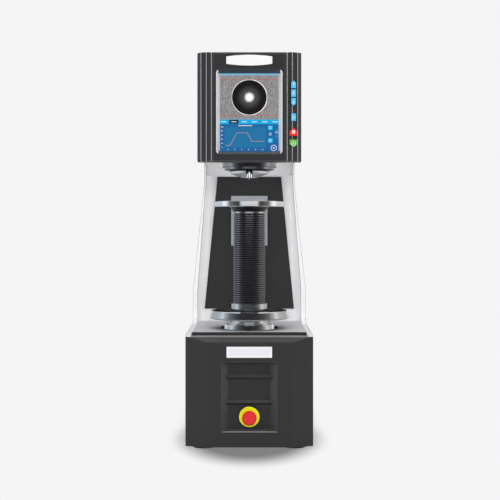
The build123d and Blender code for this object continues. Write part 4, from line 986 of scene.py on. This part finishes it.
@dataclass
class Turret(SubAssembly):
    """The turret under the head, with its indenter and objectives."""

    flange_tone: str = "7c7d82"
    dome_tone: str = "e2e4e9"
    dome_shade_tone: str = "2c2d2f"
    tip_tone: str = "d8d8da"
    rim_height: float = 10.0
    rim_radius: float = 60.0
    rim_drop: float = 4.5

    def dress(self, bench: Workbench) -> None:
        """Gives the turret's CAD nodes their finish."""
        dark = turned("dark_chrome", self.flange_tone, 0.2, "turret_dome", metallic=0.95,
                      mottle=0.08, rate=650.0, relief=0.002)
        bench.dress("turret_flange", dark)
        dome = middle("turret_dome")
        # Painted shade: a dark band round the dome's upper part.
        rim = Zone(Kind.RING, (dome.x, dome.y, far("turret_dome").z - self.rim_height),
                   (0, self.rim_radius, self.rim_drop), linear(self.dome_shade_tone), 0.3, 0.6, soft=0.8)
        bench.dress("turret_dome", replace(dark, name="satin_chrome", shade=self.dome_tone,
                                           roughness=0.24, metallic=0.6, zones=(rim,)))
        bench.dress("indenter", turned("indenter_chrome", self.tip_tone, 0.14, "indenter",
                                       metallic=1.0, mottle=0.04, relief=0.002))
        black = Finish("black_anodised", "17181a", 0.36, metallic=0.5, grain=0.5, relief=0.01,
                       mottle=0.15)
        bench.dress("indenter_holder", black)
        bench.dress("objectives", black)


@dataclass
class Sundries(SubAssembly):
    """The feet, the emergency stop, the keys' board and what lies inside the covers."""

    rubber: Finish = Finish("foot_rubber", "232323", 0.75, grain=1.2, relief=0.05, mottle=0.15)
    belt: Finish = Finish("belt_rubber", "1c1c1c", 0.8, grain=0.6, relief=0.05, mottle=0.2)
    plastic: Finish = Finish("black_plastic", "1e1f21", 0.42, coat=0.1, grain=0.5, relief=0.02,
                             mottle=0.1)
    rim: Finish = Finish("dark_collar", "23252c", 0.3, coat=0.3, grain=0.8, relief=0.01,
                         mottle=0.1)
    yellow: Finish = Finish("legend_yellow", "fff614", 0.4, gloss=0.3, grain=1.2, relief=0.006,
                            mottle=0.02)
    red: Finish = Finish("mushroom_red", "d8262a", 0.34, gloss=0.4, grain=1.0, relief=0.008,
                         mottle=0.03)
    navy: str = "0e1a38"
    ring_depth: float = 2.1
    board: Finish = Finish("board_green", "146a3a", 0.35, coat=0.4, grain=1.0, relief=0.01,
                           mottle=0.15)
    bare: Finish = Finish("bare_aluminium", "b4b6b9", 0.36, metallic=1.0, mottle=0.1,
                          lay=Lay.LEVEL, rate=800.0, relief=0.003)

    def dress(self, bench: Workbench) -> None:
        """Gives these nodes their finish."""
        nodes = {
            "levelling_feet": self.rubber, "estop_legend": self.legend_finish(),
            "estop_body": self.rim,
            "estop_nut": self.plastic, "estop_head": self.red, "estop_plunger": self.bare,
            "key_board": self.board, "camera_unit": self.plastic, "screw_pulley": self.bare,
            "motor_pulley": self.bare, "drive_belt": self.belt, "load_motor": self.plastic,
            "power_supply": self.bare, "computer_unit": self.bare, "mains_inlet": self.plastic,
            "mains_rocker": self.plastic, "data_sockets": self.bare,
        }
        for node, finish in nodes.items():
            bench.dress(node, finish)

    def legend_finish(self) -> Finish:
        """The legend's yellow dial on its navy ring."""
        high, centre = far("estop_legend"), middle("estop_legend")
        ring = Zone(Kind.BOX, (centre.x, high.y, centre.z), (high.x, self.ring_depth, high.x),
                    linear(self.navy), 0.45, soft=0.05)
        return replace(self.yellow, zones=(ring,))


class Mark(Enum):
    """The plain sign on a key."""

    UP = "up"
    DOWN = "down"
    BARS = "bars"
    LAMP = "lamp"
    HALT = "halt"
    GO = "go"


class Lit(IntEnum):
    """The tones of the lit picture, by their numbers on the piece."""

    TITLE = 0
    VIEW = 1
    DENT = 2
    WHITE = 3
    CYAN = 4
    NAVY = 5
    BLUE = 6
    FIELD = 7
    RED = 8
    ORANGE = 9


@dataclass
class Display(SubAssembly):
    """The bezel and the lit picture: a measuring view of a dent above a force curve."""

    view_height: float = 104.0
    title_height: float = 7.0
    border: float = 0.6
    dent_radius: float = 38.0
    dent_rim: float = 1.5
    dent_shift: float = 0.4
    line_gap: float = 1.0
    hair: float = 0.7
    tabs: int = 6
    tab_height: float = 10.0
    tab_dash: float = 1.3
    chart_left: float = 13.0
    chart_right: float = 31.0
    chart_low: float = 12.0
    chart_high: float = 6.5
    ticks: int = 6
    digit: float = 2.8
    digit_left: float = 5.5
    digit_drop: float = 4.5
    heading: Point = (30.0, 1.4)
    curve: tuple[Point, ...] = (
        (0.03, 0.1), (0.14, 0.1), (0.3, 0.72), (0.55, 0.72), (0.66, 0.3), (0.95, 0.3))
    buttons: int = 3
    button: Point = (11.0, 10.0)
    button_inset: Point = (21.5, 8.0)
    button_pitch: float = 14.0
    readout: Point = (11.0, 24.0)
    readout_inset: float = 7.5
    dial_inset: Point = (14.0, 11.0)
    dial: Point = (6.0, 1.0)
    hand: float = 2.6
    bubble: float = 2.4
    pen: float = 0.8
    silver: Finish = Finish("satin_silver_frame", "dedde0", 0.42, metallic=0.2, mottle=0.05,
                            lay=Lay.UPRIGHT, rate=900.0, relief=0.002)
    top_reflection_tone: str = "20262e"
    bottom_reflection_tone: str = "4c4d51"
    band: float = 9.6
    flange: float = 3.0
    slope: float = 4.5
    band_reach: float = 40.0
    glass: Finish = Finish("dark_glass", "10161c", 0.2, coat=0.4, grain=2.0, mottle=0.05)

    def dress(self, bench: Workbench) -> None:
        """Gives the bezel its satin metal with painted dark reflections above and below, and the module
        its glass.
        """
        low, high = near("display_bezel"), far("display_bezel")
        centre = (low + high) / 2
        half = (high.x - low.x) / 2 - self.flange - self.slope
        # Painted reflections: dark bands on the bezel's top and bottom.
        zones = tuple(
            Zone(Kind.BOX, (centre.x, centre.y, z), (half, self.band_reach, self.band),
                 linear(tone), 0.4)
            for z, tone in ((high.z, self.top_reflection_tone), (low.z, self.bottom_reflection_tone)))
        bench.dress("display_bezel", replace(self.silver, zones=zones))
        bench.dress("display_panel", self.glass)

    def build(self, bench: Workbench) -> None:
        """Draws the lit picture on the module's face."""
        low, high = near("display_panel"), far("display_panel")
        picture = Flat(Vector(((low.x + high.x) / 2, low.y, (low.z + high.z) / 2)))
        half_w, top = (high.x - low.x) / 2 - self.border, (high.z - low.z) / 2 - self.border
        view_low = top - self.view_height
        dent_z = self.draw_view(picture, half_w, top)
        picture.bar(0, (view_low - top) / 2, 2 * half_w, view_low + top, Lit.BLUE)
        self.draw_tabs(picture, half_w, view_low)
        self.draw_chart(picture, half_w, view_low - self.tab_height, -top)
        self.draw_buttons(picture, half_w, view_low - self.tab_height, -top)
        dent = (picture.centre.x, low.y, picture.centre.z + dent_z)
        looks = [bench.look(tone) for tone in self.tones(dent)]
        piece = bench.seat("display_picture", picture.shape, looks, Body.FRAME, smooth=5.0)

    def tones(self, dent: tuple[float, float, float]) -> list[Glow]:
        """The picture's tones in the order of their numbers, the dent's about its centre."""
        return [
            Glow("lit_title_bar", "7cb6d8"), Glow("lit_camera_view", "8e8d8e", film=0.34),
            Glow("lit_dent", "0b0b0b", film=0.1, heart=dent, heart_reach=self.dent_radius),
            Glow("lit_white", "f4f4f4"), Glow("lit_cyan", "0caee2"), Glow("lit_navy", "12304a"),
            Glow("lit_blue", "17629f"), Glow("lit_field", "1a72a4"), Glow("lit_red", "c8474c"),
            Glow("lit_orange", "d99a55"),
        ]

    def draw_view(self, picture: Flat, half_w: float, top: float) -> float:
        """Draws the title bar and the dent between its measuring lines.

        Args:
            picture: The picture.
            half_w: Half its width.
            top: Its upper edge.

        Returns:
            The height of the dent's centre.
        """
        full, view_top, view_low = 2 * half_w, top - self.title_height, top - self.view_height
        view_mid, view_tall = (view_top + view_low) / 2, view_top - view_low
        picture.bar(0, top - self.title_height / 2, full, self.title_height, Lit.TITLE)
        picture.bar(0, view_mid, full, view_tall, Lit.VIEW)
        picture.spot(self.dent_shift, view_mid, self.dent_radius + self.dent_rim, Lit.WHITE, 1)
        picture.spot(0, view_mid, self.dent_radius, Lit.DENT, 2)
        for side in (-1, 1):
            reach = side * (self.dent_radius + self.line_gap)
            picture.bar(reach, view_mid, self.hair, view_tall - 0.2, Lit.RED, 3)
            picture.bar(0, view_mid + reach, full, self.hair, Lit.RED, 3)
        return view_mid

    def draw_tabs(self, picture: Flat, half_w: float, top: float) -> None:
        """Draws the row of tabs under the view, the second of them chosen."""
        z, pitch = top - self.tab_height / 2, 2 * half_w / self.tabs
        picture.bar(0, z, 2 * half_w, self.tab_height, Lit.CYAN, 1)
        for k in range(1, self.tabs):
            picture.bar(-half_w + pitch * k, z, 0.5, self.tab_height * 0.6, Lit.BLUE, 2)
        picture.bar(-half_w + pitch * 1.5, z, pitch - 2, self.tab_height - 1, Lit.NAVY, 2)
        for k in range(self.tabs):
            picture.bar(-half_w + pitch * (k + 0.5), z, pitch / 2, self.tab_dash, Lit.WHITE, 3)

    def draw_chart(self, picture: Flat, half_w: float, top: float, bottom: float) -> None:
        """Draws the chart's field, its heading, its numbers and its curve."""
        left, right = -half_w + self.chart_left, half_w - self.chart_right
        low, high = bottom + self.chart_low, top - self.chart_high
        run, rise, middle_x = right - left, high - low, (left + right) / 2
        picture.bar(middle_x, (low + high) / 2, run, rise, Lit.FIELD, 1)
        picture.bar(middle_x, high + 3.0, *self.heading, Lit.WHITE, 1)
        for k in range(self.ticks):
            z = low + rise * k / (self.ticks - 1)
            picture.figure(str(k * 20), left - self.digit_left, z, self.digit, Lit.WHITE, 1)
            x = left + run * (k + 0.5) / self.ticks
            picture.figure(str(k * 2), x, low - self.digit_drop, self.digit, Lit.WHITE, 1)
        picture.stroke([(left + run * u, low + rise * v) for u, v in self.curve], self.pen,
                       Lit.ORANGE, 2)

    def draw_buttons(self, picture: Flat, half_w: float, top: float, bottom: float) -> None:
        """Draws the buttons, the reading and the round dial beside the chart."""
        x = half_w - self.button_inset[0]
        for k in range(self.buttons):
            z = top - self.button_inset[1] - k * self.button_pitch
            picture.bar(x, z, *self.button, Lit.FIELD if k == 1 else Lit.CYAN, 1)
            picture.hoop(x, z, self.bubble, self.hair, Lit.WHITE, 2)
        x, z = half_w - self.readout_inset, (bottom + self.chart_low + top - self.chart_high) / 2
        picture.bar(x, z + 7.0, *self.readout, Lit.FIELD, 1)
        picture.figure("62", x, z + 11.0, 4.2, Lit.WHITE, 2)
        picture.bar(x, z + 2.0, 7.0, 0.9, Lit.CYAN, 2)
        x, z = half_w - self.dial_inset[0], bottom + self.dial_inset[1]
        picture.hoop(x, z, *self.dial, Lit.WHITE, 2)
        picture.spot(x, z, self.hand, Lit.WHITE, 2, sides=3)


@dataclass
class Keys(SubAssembly):
    """The soft keys beside the display, each with a plain white sign."""

    # The white signs glow: painted light standing in for white print.
    sign: Glow = Glow("key_sign_white", "ffffff", strength=0.75)
    blue: Finish = Finish("key_blue", "3cbef0", 0.4, coat=0.2, relief=0.004, mottle=0.02)
    red: Finish = replace(blue, name="key_red", shade="eb191e")
    green: Finish = replace(blue, name="key_green", shade="55af2d")
    arrow: tuple[Point, ...] = ((-2.6, 0.6), (2.6, 0.6), (0, 5.2))
    stem: Point = (1.8, 4.4)
    stem_drop: float = 1.6
    line: Point = (5.0, 1.2)
    line_pitch: float = 2.4
    bulb: Point = (2.2, 0.9)
    bulb_rise: float = 0.6
    socket: Point = (2.6, 1.0)
    socket_drop: float = 3.6
    square: float = 7.0
    square_drop: float = 0.4
    dial: Point = (4.6, 1.2)
    dial_rise: float = 0.2
    diamond: float = 2.2
    marks: dict[str, Mark] = field(default_factory=lambda: {
        "key_up": Mark.UP, "key_upper_function": Mark.BARS, "key_down": Mark.DOWN,
        "key_lower_function": Mark.LAMP, "key_stop": Mark.HALT, "key_start": Mark.GO})

    def dress(self, bench: Workbench) -> None:
        """Gives each key its colour."""
        for node, mark in self.marks.items():
            tone = {Mark.HALT: self.red, Mark.GO: self.green}.get(mark, self.blue)
            bench.dress(node, tone)

    def build(self, bench: Workbench) -> None:
        """Draws each key's sign on its face."""
        for node, mark in self.marks.items():
            low, centre = near(node), middle(node)
            face = Flat(Vector((centre.x, low.y, centre.z)), step=0.04, segments=32)
            self.draw(face, mark)
            # Each sign is emissive, painted light on the key's print.
            piece = bench.seat(node + "_sign", face.shape, [bench.look(self.sign)], Body.FRAME,
                               smooth=5.0)
            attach(piece, node)

    def draw(self, face: Flat, mark: Mark) -> None:
        """Draws one sign in the middle of a key's face."""
        if mark in (Mark.UP, Mark.DOWN):
            way = 1 if mark is Mark.UP else -1
            face.patch([(x, way * z) for x, z in self.arrow][::way], 0)
            face.bar(0, -way * self.stem_drop, *self.stem, 0)
        elif mark is Mark.BARS:
            for k in (-1, 0, 1):
                face.bar(0, self.line_pitch * k, *self.line, 0)
        elif mark is Mark.LAMP:
            face.hoop(0, self.bulb_rise, *self.bulb, 0)
            face.bar(0, -self.socket_drop, *self.socket, 0)
        elif mark is Mark.HALT:
            face.bar(0, -self.square_drop, self.square, self.square, 0)
        else:
            face.hoop(0, self.dial_rise, *self.dial, 0)
            face.spot(0, self.dial_rise, self.diamond, 0, sides=4)


@dataclass(frozen=True)
class Lamp:
    """A softbox: its centre, aim and size in millimetres, its power in watts and its tint."""

    name: str
    place: tuple[float, float, float]
    size: Point
    power: float
    aim: tuple[float, float, float] = (0, -60, 460)
    tint: Colour = (1, 1, 1)

    def build(self) -> bpy.types.Object:
        """Makes the lamp, unseen by the metal."""
        light = bpy.data.lights.new(self.name, "AREA")
        light.shape, (light.size, light.size_y) = "RECTANGLE", metres(self.size)
        light.energy, light.color = self.power, self.tint
        lamp = in_scene(self.name, light)
        lamp.visible_glossy = False
        lamp.location = metres(self.place)
        way = Vector(self.aim) - Vector(self.place)
        lamp.rotation_euler = way.to_track_quat("-Z", "Y").to_euler()
        return lamp


@dataclass
class Studio:
    """The plain floor, the soft lights and the camera.

    Sizes are in millimetres, and the camera's sight is in metres. The bands are the room's
    brightness from ahead (0) to behind (1). The card's heights are parts of the way up, and its
    turns are in radians from straight ahead.
    """

    backdrop: str = "f5f5f5"
    camera_back: float = 2320.0
    camera_height: float = 477.0
    lens: float = 76.8
    sight: float = 50.0
    shift: Point = (0.0014, -0.038)
    floor_radius: float = 2600.0
    shadow: Point = (188.0, 355.0)
    shadow_back: float = 165.0
    shadow_soft: Point = (0.6, 1.02)
    shadow_tone: Colour = (0.22, 0.22, 0.225)
    contact_reach: float = 50.0
    contact_edge: Point = (0.25, 0.98)
    contact_least: float = 0.35
    paper: Colour = (0.8, 0.8, 0.8)
    paper_roughness: float = 0.9
    fill: float = 0.42
    bands: tuple[Point, ...] = (
        (0.0, 0.03), (0.14, 0.04), (0.21, 0.07), (0.27, 0.12), (0.34, 0.2), (0.42, 0.5),
        (0.49, 1.0), (0.58, 0.66), (0.7, 0.6), (1.0, 0.3))
    cool: Colour = (0.88, 0.94, 1.0)
    warm: Colour = (1.0, 0.96, 0.94)
    card: float = 2.4
    card_foot: Point = (0.018, 0.03)
    card_head: Point = (0.06, 0.12)
    card_ahead: Point = (0.42, 0.6)
    card_beside: Point = (1.18, 1.34)
    card_behind: Point = (1.56, 1.76)
    ceiling: float = 1.1
    ceiling_edge: Point = (0.5, 0.95)
    lamps: tuple[Lamp, ...] = (
        Lamp("soft_left", (-1900, -800, 700), (900, 1700), 16.0, tint=(0.95, 0.97, 1.0)),
        Lamp("soft_right", (1900, -800, 700), (900, 1700), 16.0, tint=(1.0, 0.97, 0.98)),
        Lamp("soft_top", (0, -300, 2100), (1500, 1500), 11.0, (0, -60, 400)),
        Lamp("soft_front", (0, -3200, 1500), (1600, 1200), 34.0, (0, -100, 450)))

    def build(self) -> list[bpy.types.Object]:
        """Builds the studio.

        Returns:
            Its objects, which are no part of the tester.
        """
        scene = bpy.context.scene
        scene.view_settings.view_transform = "Standard"
        self.world(scene)
        made = [self.floor()] + [lamp.build() for lamp in self.lamps]
        self.camera(scene)
        return made

    def world(self, scene: bpy.types.Scene) -> None:
        """A pale backdrop to the eye, even light, and soft upright bands for the metal to mirror."""
        world = bpy.data.worlds.new("room")
        world.use_nodes = True
        hand = Tree(world.node_tree)
        world.node_tree.nodes.clear()
        seen = hand.put("Background", {"Color": (*linear(self.backdrop), 1), "Strength": 1.0})
        even = hand.put("Background", {"Color": (1, 1, 1, 1), "Strength": self.fill})
        way = hand.put("SeparateXYZ", {0: hand.put("TexCoord").outputs["Generated"]})
        turn = hand.sum("ARCTAN2", hand.sum("ABSOLUTE", way.outputs[0]),
                        hand.sum("MULTIPLY", way.outputs[1], -1.0))
        bands = hand.put("ValToRGB", {0: hand.sum("DIVIDE", turn, math.pi)})
        bands.color_ramp.interpolation = "EASE"
        stops = bands.color_ramp.elements
        for place, _ in self.bands[1:-1]:
            stops.new(place)
        for stop, (place, tone) in zip(stops, self.bands):
            stop.position, stop.color = place, (tone, tone, tone, 1)
        side = hand.ramp(way.outputs[0], -0.5, 0.5)
        tint = hand.mix(side, self.cool, self.warm)
        above = hand.ramp(way.outputs[2], *self.card_foot)
        under = hand.ramp(way.outputs[2], *self.card_head, 1.0, 0.0)
        ahead = hand.ramp(turn, *self.card_ahead, self.card, 0.0)
        beside = hand.sum("MULTIPLY", hand.ramp(turn, *self.card_beside),
                          hand.ramp(turn, *self.card_behind, self.card / 2, self.card / 4))
        card = hand.sum("MULTIPLY", hand.sum("MULTIPLY", above, under),
                        hand.sum("ADD", ahead, beside))
        roof = hand.ramp(way.outputs[2], *self.ceiling_edge, 0.0, self.ceiling)
        total = hand.sum("ADD", bands.outputs[0], hand.sum("ADD", card, roof))
        room = hand.put("Background", {"Color": tint, "Strength": total})
        rays = hand.put("LightPath").outputs
        lit = hand.put("MixShader", {0: rays["Is Diffuse Ray"], 1: room.outputs[0],
                                     2: even.outputs[0]})
        both = hand.put("MixShader", {0: rays["Is Camera Ray"], 1: lit.outputs[0],
                                      2: seen.outputs[0]})
        hand.put("OutputWorld", {0: both.outputs[0]})
        scene.world = world

    def floor(self) -> bpy.types.Object:
        """A round pale floor that runs out into the backdrop."""
        shape = bmesh.new()
        bmesh.ops.create_circle(shape, cap_ends=True, segments=96, radius=self.floor_radius * MM)
        mesh = bpy.data.meshes.new("floor")
        shape.to_mesh(mesh)
        shape.free()
        floor = in_scene("floor", mesh)
        look, hand, shader = new_look("floor_paper")
        shader.inputs["Base Color"].default_value = (*self.paper, 1)
        shader.inputs["Roughness"].default_value = self.paper_roughness
        corner = hand.put("AmbientOcclusion", {"Distance": self.contact_reach * MM}, samples=12)
        contact = hand.ramp(corner.outputs["AO"], *self.contact_edge, self.contact_least, 1.0)
        centre = metres((0, near("base_front_cover").y + self.shadow_back, 0))
        away = hand.shift(hand.put("TexCoord").outputs["Object"], centre)
        half = tuple(1 / reach for reach in metres(self.shadow))
        inside = hand.put("VectorMath", {0: away, 1: (*half, 1)}, operation="MULTIPLY")
        length = hand.put("VectorMath", {0: inside.outputs[0]}, operation="LENGTH").outputs["Value"]
        shade = hand.sum("MINIMUM", contact, hand.ramp(length, *self.shadow_soft))
        pale = hand.mix(shade, self.shadow_tone, linear(self.backdrop))
        glow = hand.put("Emission", {"Color": pale})
        eye = hand.put("LightPath").outputs["Is Camera Ray"]
        both = hand.put("MixShader", {0: eye, 1: shader.outputs[0], 2: glow.outputs[0]})
        hand.link(both.outputs[0], look.node_tree.nodes["Material Output"].inputs[0])
        mesh.materials.append(look)
        return floor

    def camera(self, scene: bpy.types.Scene) -> None:
        """Sets the camera level, straight in front of the tester."""
        data = bpy.data.cameras.new("camera")
        data.lens, data.clip_end = self.lens, self.sight
        data.shift_x, data.shift_y = self.shift
        camera = in_scene("camera", data)
        front = near("base_front_cover").y
        camera.location = Vector((0, front - self.camera_back, self.camera_height)) * MM
        camera.rotation_euler = (math.pi / 2, 0, 0)
        scene.camera = camera


def main() -> None:
    """Builds and dresses the sub-assemblies in order, and the studio round them."""
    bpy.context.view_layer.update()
    bench = Workbench(Effects())
    for assembly in (PaintedCovers(), Plates(), ScrewGroup(), Turret(), Sundries(), Display(),
                     Keys()):
        assembly.dress(bench)
        assembly.build(bench)
    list(Studio().build())


if __name__ == "__main__":
    logging.basicConfig(level=logging.INFO, format="%(message)s")
    main()
